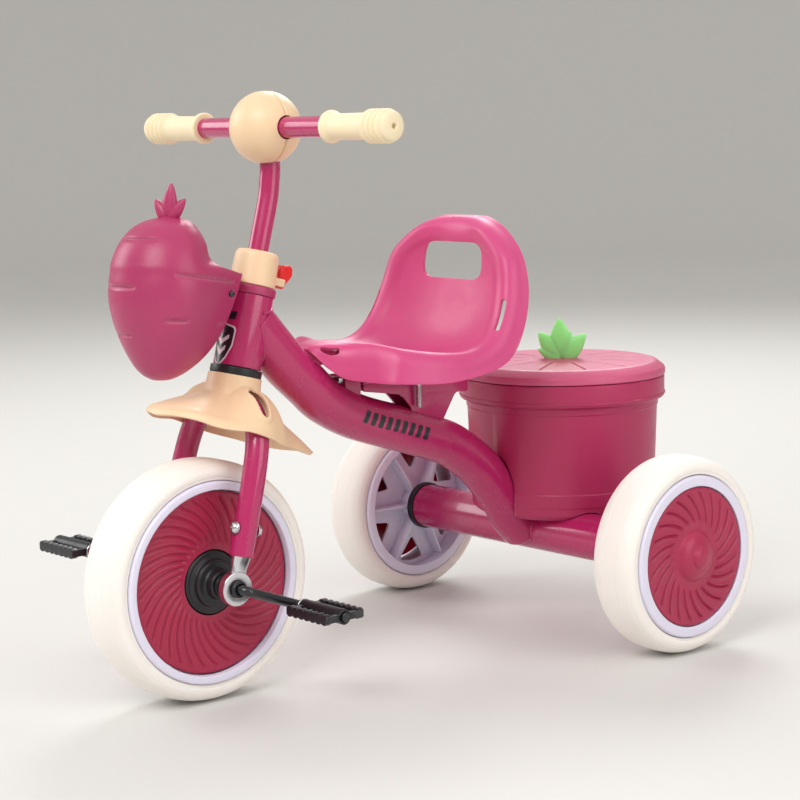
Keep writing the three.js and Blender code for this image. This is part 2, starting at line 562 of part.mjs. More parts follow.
function fenderPoint(angle, share) {
  const forward = Math.cos(angle);
  const across = Math.sin(angle) ** 2;
  const reach = forward > 0 ? FENDER.front : FENDER.rear;
  const radius = reach * (1 - across) ** 1.6 + FENDER.side * (1 - (1 - across) ** 1.6);
  const edge = (forward > 0 ? FENDER.frontEdge : FENDER.rearEdge) * (1 - across) + FENDER.sideEdge * across;
  const top = LOWER_BUSH.from - GAP;
  const profile = forward > 0 ? [[0, 0], [0.2, 0.45], [0.6, 0.66], [1, 1]] : [[0, 0], [1, 1]];
  const ridge = between(profile, share)[0];
  const dome = between([[0, 0], [0.35, 0.08], [0.7, 0.28], [0.92, 0.62], [1, 1]], share)[0];
  const fall = ridge * (1 - across) + dome * across;
  return [THREE.MathUtils.lerp(FENDER_NECK, radius, share), top - (top - edge) * fall];
}

function fender() {
  const rings = 5;
  const around = 20;
  const surface = (u, v, target) => {
    const angle = 2 * Math.PI * (u % 1);
    const row = Math.round(v * (2 * rings + 2)) % (2 * rings + 2);
    let r = STEERER.radius + 2 * GAP;
    let z = LOWER_BUSH.from - GAP;
    if (row === 1) z -= 8;
    if (row > 1 && row <= rings + 1) {
      [r, z] = fenderPoint(angle, (row - 1) / rings);
      [r, z] = [r - 1.2, z - SHEET + 0.8];
    }
    if (row > rings + 1) [r, z] = fenderPoint(angle, (2 * rings + 2 - row) / rings);
    target.set(r * Math.sin(angle), -r * Math.cos(angle), z);
  };
  const skin = new ParametricGeometry(surface, around, 2 * rings + 2);
  const slots = SIDES.map(([, s]) => rod(6, 30, 90, 'x', 12).scale(1, 1, 2).rotateY(-0.6)
    .translate(12, 2 * s, 148).rotateZ(s > 0 ? 0 : Math.PI));
  node('front_fender', cut(skin, ...slots), 'cream', head);
}

function steeringSleeve() {
  const { from, to, radius } = SLEEVE;
  const outer = turned([[0, from], [radius + 0.8, from], [radius, from + 4], [radius - 0.6, to - 2],
    [radius - 2.5, to], [0, to]], 20);
  const pivot = [0, radius + 8, from + 9];
  const lugs = [-1, 1].map((e) => block(4, 18, 11, e * 8, radius + 4, pivot[2]));
  const bores = [rod(STEERER.radius + GAP, from - 5, STEERER.to + GAP, 'z', 20),
    rod(STEM_RADIUS + GAP, from, to + 5, 'z', 20),
    rod(2.2 + GAP, -20, 20, 'x', 10).translate(...pivot)];
  node('stem_sleeve', cut(join(outer, ...lugs), ...bores), 'cream', head);
  node('lever_pin', rod(2.2, -11.5, 11.5, 'x', 10), 'steel', head, pivot);
  const shape = [[-3.6, -2.5], [0, -4.4], [3.6, -2.5], [4.6, 6], [10, 17], [8, 24], [1, 25], [-2, 18],
    [-3.6, 6]];
  const lever = cut(plateAcross(shape, 5.4), rod(2.2 + GAP, -20, 20, 'x', 10));
  node('quick_release_lever', lever, 'lever', head, pivot);
}

// ---------- handlebar ----------
function handlebar() {
  const { y, z, halfLength, radius, ballRadius } = HANDLEBAR;
  const stemLine = [onSteeringAxis(STEM_FROM), onSteeringAxis(320), onSteeringAxis(392), [0, -360.6, 524],
    [0, y + 0.6, z - radius - GAP]];
  node('handlebar_stem', swept(stemLine, STEM_RADIUS, 8, 12, STEM_RADIUS - 1.6), 'paint', tricycle);
  node('handlebar_crossbar', pipe(radius, radius - 1.6, 9 - halfLength, halfLength - 9, 'x', 20), 'paint',
    tricycle, [0, y, z]);
  const grip = turned([[0, halfLength], [12, halfLength], [16.3, halfLength - 5],
    [16.3, halfLength - 38], [12.7, halfLength - 42], [12.7, 109], [15.8, 107], [15.8, 101],
    [radius + GAP, 101], [radius + GAP, halfLength - 8], [0, halfLength - 8]], 16, 'x');
  const shell = (front) => {
    const bore = ballRadius - 2.5;
    const ball = cut(new THREE.SphereGeometry(ballRadius, 14, 10), new THREE.SphereGeometry(bore, 10, 6),
      block(90, 90, 90, 0, front * (45 - GAP / 2), 0), rod(radius + GAP, -60, 60, 'x', 20),
      rod(STEM_RADIUS + 5, -60, 0, 'z', 16));
    return ball;
  };
  for (const [side, s] of SIDES) {
    node(`grip_${side}`, s > 0 ? grip : grip.clone().rotateZ(Math.PI), 'grip', tricycle, [0, y, z]);
  }
  node('ball_shell_front', shell(1), 'cream', tricycle, [0, y, z]);
  node('ball_shell_rear', shell(-1), 'cream', tricycle, [0, y, z]);
}

// ---------- assembly ----------
frameTubes();
headBushes();
node('seat_shell', seatShell(), 'seat', tricycle);
seatMounts();
seatBolts();
basket();
bin();
binLid();
rearAxle();
rearWheels();
frontWheelParts();
crank();
pedals();
fork();
fender();
steeringSleeve();
handlebar();

const model = new THREE.Group();
tricycle.position.y = REAR_AXLE_Y;
model.add(tricycle);

export default model;
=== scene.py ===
"""Children's tricycle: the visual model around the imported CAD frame.

Shapes are written in millimetres from the rear axle, the steering head or a wheel's centre, and are
placed in the frame in metres: +Z up, +X the rider's left, -Y the direction of travel.
"""

import json
import math

import bmesh
import bpy
from mathutils import Matrix, Vector


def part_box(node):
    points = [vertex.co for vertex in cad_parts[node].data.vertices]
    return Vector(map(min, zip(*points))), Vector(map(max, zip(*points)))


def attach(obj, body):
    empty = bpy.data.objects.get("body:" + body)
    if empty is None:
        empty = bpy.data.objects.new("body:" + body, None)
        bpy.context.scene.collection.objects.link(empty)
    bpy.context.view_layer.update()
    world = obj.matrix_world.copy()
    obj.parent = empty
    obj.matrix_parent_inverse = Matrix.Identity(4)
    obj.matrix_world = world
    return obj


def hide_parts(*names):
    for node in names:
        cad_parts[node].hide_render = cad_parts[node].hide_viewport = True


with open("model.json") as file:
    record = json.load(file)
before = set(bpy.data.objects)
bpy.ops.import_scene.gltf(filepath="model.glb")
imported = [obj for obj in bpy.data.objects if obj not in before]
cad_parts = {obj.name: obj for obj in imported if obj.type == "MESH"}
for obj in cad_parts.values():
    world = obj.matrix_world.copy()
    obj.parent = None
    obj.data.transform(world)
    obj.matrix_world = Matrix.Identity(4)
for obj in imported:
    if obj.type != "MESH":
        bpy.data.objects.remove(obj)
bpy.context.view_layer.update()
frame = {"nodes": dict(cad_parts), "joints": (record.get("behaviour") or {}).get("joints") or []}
SIDES = (("left", 1), ("right", -1))
TAU = 2 * math.pi


# ---------- places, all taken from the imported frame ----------
def middle(node):
    low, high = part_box(node)
    return (low + high) / 2


REAR_AXLE = middle("rear_axle_rod")
FRONT_AXLE = middle("front_tyre")
STEER_AXIS = next(j["axis"] for j in frame["joints"] if j["name"] == "steering_turn")
STEER_TILT = math.atan2(STEER_AXIS[1], STEER_AXIS[2])
MM = Matrix.Scale(0.001, 4)
TRIKE = Matrix.Translation((0, REAR_AXLE.y, 0)) @ MM
HEAD = Matrix.Translation(FRONT_AXLE) @ Matrix.Rotation(-STEER_TILT, 4, "X") @ MM
FRONT_WHEEL = Matrix.Translation(FRONT_AXLE) @ MM
WHEELBASE = (REAR_AXLE.y - FRONT_AXLE.y) * 1000
AXLE_HEIGHT = REAR_AXLE.z * 1000


def on_steering_axis(along):
    return Vector((0, -WHEELBASE + along * math.sin(STEER_TILT),
                   FRONT_AXLE.z * 1000 + along * math.cos(STEER_TILT)))


# ---------- numbers ----------
def lerp(a, b, share):
    return a + (b - a) * share


def clamp(value, low=0.0, high=1.0):
    return max(low, min(high, value))


def smooth(low, high, value):
    t = clamp((value - low) / (high - low))
    return t * t * (3 - 2 * t)


def curve_through(rows, at):
    """Smooth values through a table of (at, value, value, ...) rows."""
    at = clamp(at, rows[0][0], rows[-1][0])
    i = next((k for k in range(1, len(rows)) if rows[k][0] >= at), len(rows) - 1)
    x0, x1 = rows[i - 1][0], rows[i][0]
    t = (at - x0) / (x1 - x0)

    def slope(k, c):
        a, b = max(k - 1, 0), min(k + 1, len(rows) - 1)
        return (rows[b][c] - rows[a][c]) / (rows[b][0] - rows[a][0]) * (x1 - x0)

    out = []
    for c in range(1, len(rows[0])):
        a, b = rows[i - 1][c], rows[i][c]
        m0, m1 = slope(i - 1, c), slope(i, c)
        out.append((2 * t**3 - 3 * t**2 + 1) * a + (t**3 - 2 * t**2 + t) * m0
                   + (3 * t**2 - 2 * t**3) * b + (t**3 - t**2) * m1)
    return out


def measured(rows, places):
    """Puts the distance so far, over the first few places, in front of every row."""
    out, at = [], 0.0
    for i, row in enumerate(rows):
        at += math.dist(row[:places], rows[i - 1][:places]) if i else 0.0
        out.append((at, *row))
    return out


def quarter(radius, steps):
    """Points (out, up) of a quarter circle, from straight up to straight out."""
    turns = [k / steps * math.pi / 2 for k in range(steps + 1)]
    return [(radius * math.sin(a), radius * math.cos(a)) for a in turns]


def outline_distance(outline, x, y):
    """Distance from (x, y) to a closed outline, negative inside it."""
    best, inside = 1e9, False
    for (ax, ay), (bx, by) in zip(outline, outline[1:] + outline[:1]):
        dx, dy = bx - ax, by - ay
        t = clamp(((x - ax) * dx + (y - ay) * dy) / (dx * dx + dy * dy))
        best = min(best, math.hypot(x - ax - t * dx, y - ay - t * dy))
        if (ay > y) != (by > y) and x < ax + (y - ay) * dx / dy:
            inside = not inside
    return -best if inside else best


# ---------- shapes: points and faces in millimetres ----------
class Shape:
    def __init__(self, points=(), faces=()):
        self.points = [Vector(p) for p in points]
        self.faces = [tuple(f) for f in faces]

    def __add__(self, other):
        start = len(self.points)
        return Shape(self.points + other.points,
                     self.faces + [tuple(start + i for i in f) for f in other.faces])

    def moved(self, matrix):
        return Shape([matrix @ p for p in self.points], self.faces)

    def at(self, x, y, z):
        return self.moved(Matrix.Translation((x, y, z)))

    def turned(self, degrees, axis):
        return self.moved(Matrix.Rotation(math.radians(degrees), 4, axis))

    def mirrored(self):
        return self.moved(Matrix.Diagonal((-1, 1, 1, 1)))

    def on_side(self, side):
        return self if side > 0 else self.mirrored()


def rounded(line, radius, steps=4, loop=False):
    """A line of (a, b, ...) points with its corners rounded off."""
    points = [Vector(p) for p in line]
    count = len(points)
    out = []
    for i, p in enumerate(points):
        if not loop and i in (0, count - 1):
            out.append(p)
            continue
        before, after = points[i - 1] - p, points[(i + 1) % count] - p
        cut = min(radius, 0.45 * before.length, 0.45 * after.length)
        start, end = p + before.normalized() * cut, p + after.normalized() * cut
        for k in range(steps + 1):
            t = k / steps
            out.append(start * (1 - t) ** 2 + p * 2 * t * (1 - t) + end * t * t)
    return out


TURNS = {
    "x": lambda r, h, a: (h, r * math.cos(a), r * math.sin(a)),
    "y": lambda r, h, a: (r * math.sin(a), h, r * math.cos(a)),
    "z": lambda r, h, a: (r * math.cos(a), r * math.sin(a), h),
}


def joined(rings):
    """Faces between rings of point numbers; a ring of a single number is a tip."""
    faces = []
    for a, b in zip(rings, rings[1:]):
        sides = max(len(a), len(b))
        for i in range(sides if len(a) + len(b) > 2 else 0):
            j = (i + 1) % sides
            if len(b) == 1:
                faces.append((a[i], a[j], b[0]))
            elif len(a) == 1:
                faces.append((a[0], b[j], b[i]))
            else:
                faces.append((a[i], a[j], b[j], b[i]))
    return faces


def lathe(profile, sides=72, axis="z", loop=False, relief=None):
    """A turned piece; relief(radius, height, angle) may move each point."""
    points, rings = [], []
    for r, h in profile:
        ring = []
        for i in range(1 if r < 1e-6 else sides):
            angle = TAU * i / sides
            ring.append(len(points))
            points.append(TURNS[axis](*(relief(r, h, angle) if relief else (r, h)), angle))
        rings.append(ring)
    return Shape(points, joined(rings + rings[:1] if loop else rings))


def turned_ring(profile, edge, sides, axis="z", steps=3):
    """A turned piece that is open in the middle, with its corners rounded off."""
    return lathe(rounded(profile, edge, steps, True), sides, axis, loop=True)


def rod(radius, low, high, axis="z", edge=0.8, sides=40):
    return lathe(rounded([(0, low), (radius, low), (radius, high), (0, high)], edge), sides, axis)


def ring(outer, bore, low, high, axis="z", edge=0.8, sides=64):
    return turned_ring([(bore, low), (outer, low), (outer, high), (bore, high)], edge, sides, axis, 4)


def hex_prism(across, low, high, axis="z"):
    radius = across / math.sqrt(3)
    return lathe([(0, low), (radius, low), (radius, high), (0, high)], 6, axis)


def spline(points, spacing=4.0):
    """Points a few millimetres apart on a smooth line through the given points."""
    points = [Vector(p) for p in points]
    if len(points) == 2:
        steps = max(1, round((points[1] - points[0]).length / spacing))
        return [points[0].lerp(points[1], k / steps) for k in range(steps + 1)]
    rows = measured(points, 3)
    length = rows[-1][0]
    steps = max(2, round(length / spacing))
    return [Vector(curve_through(rows, length * k / steps)) for k in range(steps + 1)]


def sweep(path, radius, sides=40, edge=0.8, flat=1.0, ripple=None):
    """A round bar along a line of points, with rounded ends; flat squeezes it across."""
    path = [Vector(p) for p in path]
    tangents = [(path[min(i + 1, len(path) - 1)] - path[max(i - 1, 0)]).normalized()
                for i in range(len(path))]
    side = tangents[0].orthogonal().normalized()
    if abs(tangents[0].x) < 0.5:
        side = (Vector((1, 0, 0)) - tangents[0] * tangents[0].x).normalized()
    stations = []
    for i, (p, t) in enumerate(zip(path, tangents)):
        side = (side - t * side.dot(t)).normalized()
        size = radius(i / (len(path) - 1)) if callable(radius) else radius
        stations.append((p, t, side.copy(), size))

    def rounded_end(station, inward):
        p, t, s, size = station
        return [(p + t * inward * (edge - up), t, s, size - edge + out) for out, up in quarter(edge, 3)]

    if edge > 0:
        stations[-1:] = reversed(rounded_end(stations[-1], -1))
        stations[:1] = rounded_end(stations[0], 1)
    points = []
    for k, (p, t, s, size) in enumerate(stations):
        other = t.cross(s)
        for i in range(sides):
            a = TAU * i / sides
            r = size + (ripple(k, a) if ripple else 0)
            points.append(p + s * (r * math.cos(a) * flat) + other * (r * math.sin(a)))
    rings = [range(k * sides, (k + 1) * sides) for k in range(len(stations))]
    return Shape(points, joined(rings) + [tuple(reversed(rings[0])), tuple(rings[-1])])


def between(place, low, high, outline):
    """The solid between place(a, b, low) and place(a, b, high) for the points (a, b) of an outline."""
    count = len(outline)
    faces = [tuple(range(count)), tuple(reversed(range(count, 2 * count)))]
    faces += [(i, (i + 1) % count, count + (i + 1) % count, count + i) for i in range(count)]
    return Shape([place(a, b, level) for level in (low, high) for a, b in outline], faces)


def prism(outline, half, x=0.0):
    """An outline in the YZ plane, from x - half to x + half."""
    return between(lambda y, z, at: (at, y, z), x - half, x + half, outline)


def block(size, centre=(0, 0, 0)):
    a, b, c = (s / 2 for s in size)
    return prism([(-b, -c), (b, -c), (b, c), (-b, c)], a).at(*centre)


def patch(place, across, along, keep=None, wrap=False):
    """A sheet of place(u, v) for u and v from 0 to 1, cut off where keep(u, v) is below zero."""
    wide = across if wrap else across + 1
    params = [(i / across, j / along) for j in range(along + 1) for i in range(wide)]
    value = [keep(u, v) if keep else 1.0 for u, v in params]
    points, index, crossing = [], {}, {}

    def corner(k):
        if k not in index:
            index[k] = len(points)
            points.append(place(*params[k]))
        return index[k]

    def edge(k, m):
        key = (min(k, m), max(k, m))
        if key not in crossing:
            (u0, v0), (u1, v1) = params[key[0]], params[key[1]]
            if wrap and abs(u1 - u0) > 0.5:
                u0, u1 = (u0 + 1, u1) if u0 < u1 else (u0, u1 + 1)
            t = value[key[0]] / (value[key[0]] - value[key[1]])
            crossing[key] = len(points)
            points.append(place(lerp(u0, u1, t) % 1.0 if wrap else lerp(u0, u1, t), lerp(v0, v1, t)))
        return crossing[key]

    faces = []
    for j in range(along):
        for i in range(across):
            n = (i + 1) % wide
            quad = [j * wide + i, j * wide + n, (j + 1) * wide + n, (j + 1) * wide + i]
            if all(value[k] > 0 for k in quad):
                faces.append(tuple(corner(k) for k in quad))
            elif any(value[k] > 0 for k in quad):
                face = []
                for a, b in zip(quad, quad[1:] + quad[:1]):
                    if value[a] > 0:
                        face.append(corner(a))
                    if (value[a] > 0) != (value[b] > 0):
                        face.append(edge(a, b))
                faces.append(tuple(face))
    return Shape(points, faces)


def capped(tube, sides):
    """Closes both ends of a tube of rings with so many points each."""
    rings = range(sides), reversed(range(len(tube.points) - sides, len(tube.points)))
    return Shape(tube.points, tube.faces + [tuple(ring_points) for ring_points in rings])


# ---------- Blender objects ----------
def mesh_object(name, shape, closed=True):
    mesh = bpy.data.meshes.new(name)
    mesh.from_pydata(shape.points, [], shape.faces)
    work = bmesh.new()
    work.from_mesh(mesh)
    bmesh.ops.remove_doubles(work, verts=work.verts, dist=0.02)
    bmesh.ops.dissolve_degenerate(work, edges=work.edges, dist=0.001)
    if closed:
        bmesh.ops.recalc_face_normals(work, faces=work.faces)
    work.to_mesh(mesh)
    work.free()
    obj = bpy.data.objects.new(name, mesh)
    bpy.context.scene.collection.objects.link(obj)
    return obj


def bake_modifiers(obj):
    bpy.context.view_layer.update()
    graph = bpy.context.evaluated_depsgraph_get()
    mesh = bpy.data.meshes.new_from_object(obj.evaluated_get(graph))
    old = obj.data
    obj.modifiers.clear()
    obj.data = mesh
    bpy.data.meshes.remove(old)


def piece(name, shape, place, paint, body, replaces=None, thick=0.0, bevel=0.0, cuts=(), sharp=38):
    """Makes one visible piece: shape in millimetres, placed, painted and riding on a body.

    It takes the place of the frame's node of the same name, where replaces names no other.
    """
    obj = mesh_object(name, shape, closed=not thick)
    tools = [mesh_object(f"{name}_tool", tool) for tool in cuts]
    if thick:
        solidify = obj.modifiers.new("thickness", "SOLIDIFY")
        solidify.thickness = abs(thick)
        solidify.offset = -1 if thick > 0 else 1
    for tool in tools:
        boolean = obj.modifiers.new("cut", "BOOLEAN")
        boolean.operation, boolean.solver, boolean.object = "DIFFERENCE", "EXACT", tool
    if bevel:
        edge = obj.modifiers.new("edges", "BEVEL")
        edge.width, edge.segments, edge.limit_method = bevel, 3, "ANGLE"
        edge.angle_limit = math.radians(50)
    if obj.modifiers:
        bake_modifiers(obj)
    for tool in tools:
        bpy.data.objects.remove(tool)
    obj.data.transform(place)
    obj.data.shade_smooth()
    obj.data.set_sharp_from_angle(angle=math.radians(sharp))
    obj.data.materials.clear()
    obj.data.materials.append(FINISHES[paint])
    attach(obj, body)
    SLOT_OF.get(paint, paint)
    node = replaces or name.lower()
    if replaces or node in frame["nodes"]:
        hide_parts(node)
    return obj


# ---------- finishes ----------
def from_srgb(r, g, b):
    return tuple((c / 255 / 12.92) if c <= 10 else ((c / 255 + 0.055) / 1.055) ** 2.4 for c in (r, g, b))


def shaded(colour, factor):
    return (*(clamp(c * factor) for c in colour), 1.0)


FINISHES = {}


def make_finish(name, srgb, roughness, tone, grain, grain_size=0.0011, metallic=0.0, coat=0.0, edge=0.25,
                subsurface=0.0, stretch=(1, 1, 1)):
    """A procedural finish: broad tone variation, a painted highlight that lightens the sharp edges, uneven
    gloss and a fine grain; edge sets how strong the painted edge highlight is.
    """
    colour = from_srgb(*srgb)
    material = FINISHES[name] = bpy.data.materials.new(name.capitalize())
    material.use_nodes = True
    nodes, links = material.node_tree.nodes, material.node_tree.links
    shader = nodes["Principled BSDF"]

    def add(kind, **values):
        node = nodes.new(kind)
        for key, value in values.items():
            if hasattr(node, key):
                setattr(node, key, value)
            else:
                node.inputs[key.replace("_", " ")].default_value = value
        return node

    where = add("ShaderNodeTexCoord")
    mapping = add("ShaderNodeMapping", Scale=stretch)
    links.new(where.outputs["Object"], mapping.inputs["Vector"])
    broad = add("ShaderNodeTexNoise", Scale=9.0, Detail=4.0, Roughness=0.55)
    cloud = add("ShaderNodeTexNoise", Scale=55.0, Detail=5.0, Roughness=0.6)
    fine = add("ShaderNodeTexNoise", Scale=1 / grain_size, Detail=3.0, Roughness=0.6)
    for node in (broad, cloud, fine):
        links.new(mapping.outputs["Vector"], node.inputs["Vector"])

    tint = add("ShaderNodeValToRGB")
    tint.color_ramp.elements[0].position, tint.color_ramp.elements[1].position = 0.3, 0.7
    tint.color_ramp.elements[0].color = shaded(colour, 1 - tone)
    tint.color_ramp.elements[1].color = shaded(colour, 1 + tone)
    links.new(broad.outputs["Fac"], tint.inputs["Fac"])
    # Painted highlight: sharp edges found by pointiness are mixed towards a paler colour, standing in for
    # light caught on rounded edges.
    geometry = add("ShaderNodeNewGeometry")
    edge_highlight = add("ShaderNodeMapRange", From_Min=0.53, From_Max=0.62, To_Min=0.0, To_Max=edge)
    links.new(geometry.outputs["Pointiness"], edge_highlight.inputs["Value"])
    mix = add("ShaderNodeMix", data_type="RGBA")
    lighter = [s for s in mix.inputs if s.type == "RGBA"]
    lighter[1].default_value = (*(lerp(c, 1.0, 0.35) for c in colour), 1.0)
    links.new(tint.outputs["Color"], lighter[0])
    links.new(edge_highlight.outputs["Result"], mix.inputs["Factor"])
    links.new(next(s for s in mix.outputs if s.type == "RGBA"), shader.inputs["Base Color"])

    gloss = add("ShaderNodeMapRange", From_Min=0.3, From_Max=0.7, To_Min=roughness - 0.05,
                To_Max=roughness + 0.06)
    links.new(cloud.outputs["Fac"], gloss.inputs["Value"])
    links.new(gloss.outputs["Result"], shader.inputs["Roughness"])
    bump = add("ShaderNodeBump", Strength=grain, Distance=0.00025)
    links.new(fine.outputs["Fac"], bump.inputs["Height"])
    links.new(bump.outputs["Normal"], shader.inputs["Normal"])
    values = {"Metallic": metallic, "Coat Weight": coat, "Coat Roughness": 0.08}
    if subsurface:
        values |= {"Subsurface Weight": subsurface, "Subsurface Radius": (0.006, 0.003, 0.002),
                   "Subsurface Scale": 1.0}
    for socket, value in values.items():
        shader.inputs[socket].default_value = value


make_finish("frame_paint", (180, 32, 95), 0.24, 0.05, 0.05, coat=0.55, edge=0.0)
make_finish("seat_plastic", (206, 72, 128), 0.38, 0.05, 0.10, edge=0.15, subsurface=0.12)
make_finish("bin_plastic", (176, 40, 88), 0.38, 0.06, 0.12, subsurface=0.05)
make_finish("basket_plastic", (172, 52, 98), 0.36, 0.06, 0.10, edge=0.15, subsurface=0.1)
make_finish("lid_plastic", (200, 80, 120), 0.40, 0.06, 0.12, subsurface=0.05)
make_finish("cover_plastic", (166, 30, 68), 0.34, 0.06, 0.10, edge=0.15, subsurface=0.08)
make_finish("rear_cover_plastic", (172, 38, 78), 0.34, 0.06, 0.10, edge=0.15, subsurface=0.08)
# Painted glow: a bright red for the inner disc behind each rear cover, standing in for light shining
# through the thin cover.
make_finish("cover_painted_glow", (226, 26, 48), 0.3, 0.05, 0.06, edge=0.0, subsurface=0.2)
make_finish("cream_plastic", (240, 206, 168), 0.42, 0.04, 0.10, edge=0.12, subsurface=0.15)
make_finish("grip_rubber", (240, 224, 188), 0.55, 0.05, 0.22, 0.0016, edge=0.1, subsurface=0.1)
make_finish("tyre_foam", (246, 240, 234), 0.62, 0.03, 0.3, 0.0022, edge=0.0, subsurface=0.1,
            stretch=(0.25, 1, 1))
make_finish("rim_plastic", (228, 224, 242), 0.32, 0.03, 0.08, edge=0.1, subsurface=0.12)
make_finish("leaf_plastic", (150, 245, 140), 0.36, 0.07, 0.08, subsurface=0.2)
make_finish("lever_plastic", (228, 24, 28), 0.3, 0.06, 0.08, subsurface=0.08)
make_finish("black_plastic", (27, 27, 31), 0.36, 0.2, 0.15, edge=0.08)
make_finish("black_steel", (24, 24, 28), 0.28, 0.15, 0.10, coat=0.4, edge=0.1)
make_finish("plated_steel", (214, 214, 218), 0.2, 0.05, 0.06, metallic=1.0, edge=0.0)
make_finish("decal_dark", (28, 24, 34), 0.3, 0.1, 0.03, coat=0.3, edge=0.0)
make_finish("decal_pale", (226, 206, 216), 0.3, 0.04, 0.03, coat=0.3, edge=0.0)
SLOT_OF = {"lid_plastic": "bin_plastic", "rear_cover_plastic": "cover_plastic",
           "cover_painted_glow": "cover_plastic", "decal_dark": "frame_paint", "decal_pale": "frame_paint"}


# ---------- frame tubes ----------
HEAD_TUBE = {"from": 213.0, "to": 286.0, "radius": 24.0}
MAIN_RADIUS = 24.4
AXLE_TUBE_RADIUS = 25.6
AXLE_TUBE_HALF = 176.0
MAIN_LINE = [(0, y, z) for y, z in (  # from the head tube down to the axle tube
    (-392, 371), (-364, 339), (-346.8, 320.6), (-323.8, 300.4), (-301.8, 281.2), (-260.9, 260),
    (-194.8, 238.5), (-134.3, 217.5), (-113, 206), (-86.3, 187), (-66.3, 166.5), (-46, 141.5),
    (-32, 121), (-16, 105))]
MAIN_STEP = 4.0
MAIN_PATH = spline(MAIN_LINE, MAIN_STEP)
HEAD_IN_TRIKE = TRIKE.inverted() @ HEAD
AXLE_IN_TRIKE = Matrix.Translation((0, 0, AXLE_HEIGHT)) @ Matrix.Rotation(math.pi / 2, 4, "Y")


def weld_bead(centre, direction, radius, surface, surface_radius, size=1.6):
    """The bead where a tube running along direction meets another tube's outside."""
    to_surface = surface.inverted()
    d = (to_surface.to_3x3() @ direction).normalized()
    across = Vector((1, 0, 0))
    other = direction.cross(across).normalized()
    path = []
    for i in range(97):
        a = TAU * i / 96
        p = to_surface @ (centre + (across * math.cos(a) + other * math.sin(a)) * radius)
        quadratic = d.x**2 + d.y**2
        linear = 2 * (p.x * d.x + p.y * d.y)
        constant = p.x**2 + p.y**2 - surface_radius**2
        root = linear * linear - 4 * quadratic * constant
        if root > 0:
            path.append(surface @ (p + d * ((-linear - math.sqrt(root)) / (2 * quadratic))))
    return sweep(path, size, 10, 0.3, ripple=lambda k, a: 0.12 * math.sin(k * 2.1) * math.cos(a / 2) ** 2)


def on_main_tube(along, angle, out):
    """A point on the main tube, from the distance along it and the angle up from its left side."""
    k = clamp(along / MAIN_STEP, 0, len(MAIN_PATH) - 1.001)
    i = int(k)
    centre = MAIN_PATH[i].lerp(MAIN_PATH[i + 1], k - i)
    before, after = MAIN_PATH[max(i - 1, 0)], MAIN_PATH[min(i + 2, len(MAIN_PATH) - 1)]
    tangent = (after - before).normalized()
    up = Vector((1, 0, 0)).cross(tangent)
    up = up if up.z > 0 else -up
    return centre + (Vector((1, 0, 0)) * math.cos(angle) + up * math.sin(angle)) * (MAIN_RADIUS + out)


def frame_tubes():
    head_bore = rod(20.8, 150, 340, "z", 0, 64).moved(HEAD_IN_TRIKE)
    piece("Main_tube", sweep(MAIN_PATH, MAIN_RADIUS, 64), TRIKE, "frame_paint", "frame", "main_tube",
          cuts=[head_bore])
    head = ring(HEAD_TUBE["radius"], 20.5, HEAD_TUBE["from"], HEAD_TUBE["to"], "z", 0.8, 80)
    piece("Head_tube", head, HEAD, "frame_paint", "frame", "head_tube")
    axle = ring(AXLE_TUBE_RADIUS, 23.4, -AXLE_TUBE_HALF, AXLE_TUBE_HALF, "x", 0.8, 80)
    piece("Rear_axle_tube", axle.at(0, 0, AXLE_HEIGHT), TRIKE, "frame_paint", "frame", "rear_axle_tube")
    front = weld_bead(MAIN_PATH[8], (MAIN_PATH[0] - MAIN_PATH[8]).normalized(), MAIN_RADIUS,
                      HEAD_IN_TRIKE, HEAD_TUBE["radius"])
    rear = weld_bead(MAIN_PATH[-12], (MAIN_PATH[-6] - MAIN_PATH[-12]).normalized(), MAIN_RADIUS,
                     AXLE_IN_TRIKE, AXLE_TUBE_RADIUS)
    piece("Head_weld", front, TRIKE, "frame_paint", "frame")
    piece("Axle_weld", rear, TRIKE, "frame_paint", "frame")


def head_bushes():
    lower = turned_ring([(14.4, 204.6), (25.2, 204.6), (26, 205.4), (26, 211.8), (25.4, 212.4),
                         (14.4, 212.4)], 0.5, 80)
    piece("Lower_bush", lower, HEAD, "black_plastic", "frame", "head_bush_lower")
    upper = turned_ring([(14.4, 286.3), (24.4, 286.3), (25.2, 287.2), (25.2, 293.6), (24.2, 295),
                         (14.4, 295)], 0.8, 80, steps=4)
    piece("Upper_bush", upper, HEAD, "basket_plastic", "frame", "head_bush_upper")


def axle_caps():
    for side, s in SIDES:
        cap = turned_ring([(5.4, 150.5), (23, 150.5), (23, 176.4), (27.4, 176.4), (27.6, 179), (27.6, 184),
                           (24.5, 186), (18, 186.2), (16, 184.6), (9, 184.6), (8, 186.6), (5.4, 186.6)],
                          1.0, 80, "x").on_side(s)
        piece(f"Axle_cap_{side}", cap.at(0, 0, AXLE_HEIGHT), TRIKE, "black_plastic", "frame")


# ---------- decorations, all plain shapes ----------
# Outlines on the head tube: distance around it from the front, distance up the steering axis.
SHIELD = [(-15, 248), (-13.5, 251), (0, 254), (13.5, 251), (15, 248), (14.2, 232), (9, 219), (0, 208),
          (-9, 219), (-14.2, 232)]
BANNER = [(-12, 258), (12, 258), (13.5, 266), (-13.5, 266)]


def on_head_tube(arc, along, out):
    angle = arc / HEAD_TUBE["radius"]
    radius = HEAD_TUBE["radius"] + out
    return (radius * math.sin(angle), -radius * math.cos(angle), along)


def scaled_outline(outline, share):
    cx = sum(p[0] for p in outline) / len(outline)
    cy = sum(p[1] for p in outline) / len(outline)
    return [(lerp(cx, x, share), lerp(cy, y, share)) for x, y in outline]


def sticker(name, place, paint, outlines, across, along, surface, grid):
    """Outlines cut from a thin skin on a surface; across and along are the ranges they lie in."""
    def flat(u, v):
        return lerp(*across, u), lerp(*along, v)

    def keep(u, v):
        return -min(outline_distance(outline, *flat(u, v)) for outline in outlines)

    skin = patch(lambda u, v: surface(*flat(u, v)), *grid, keep)
    piece(name, skin, place, paint, "frame", thick=0.06)


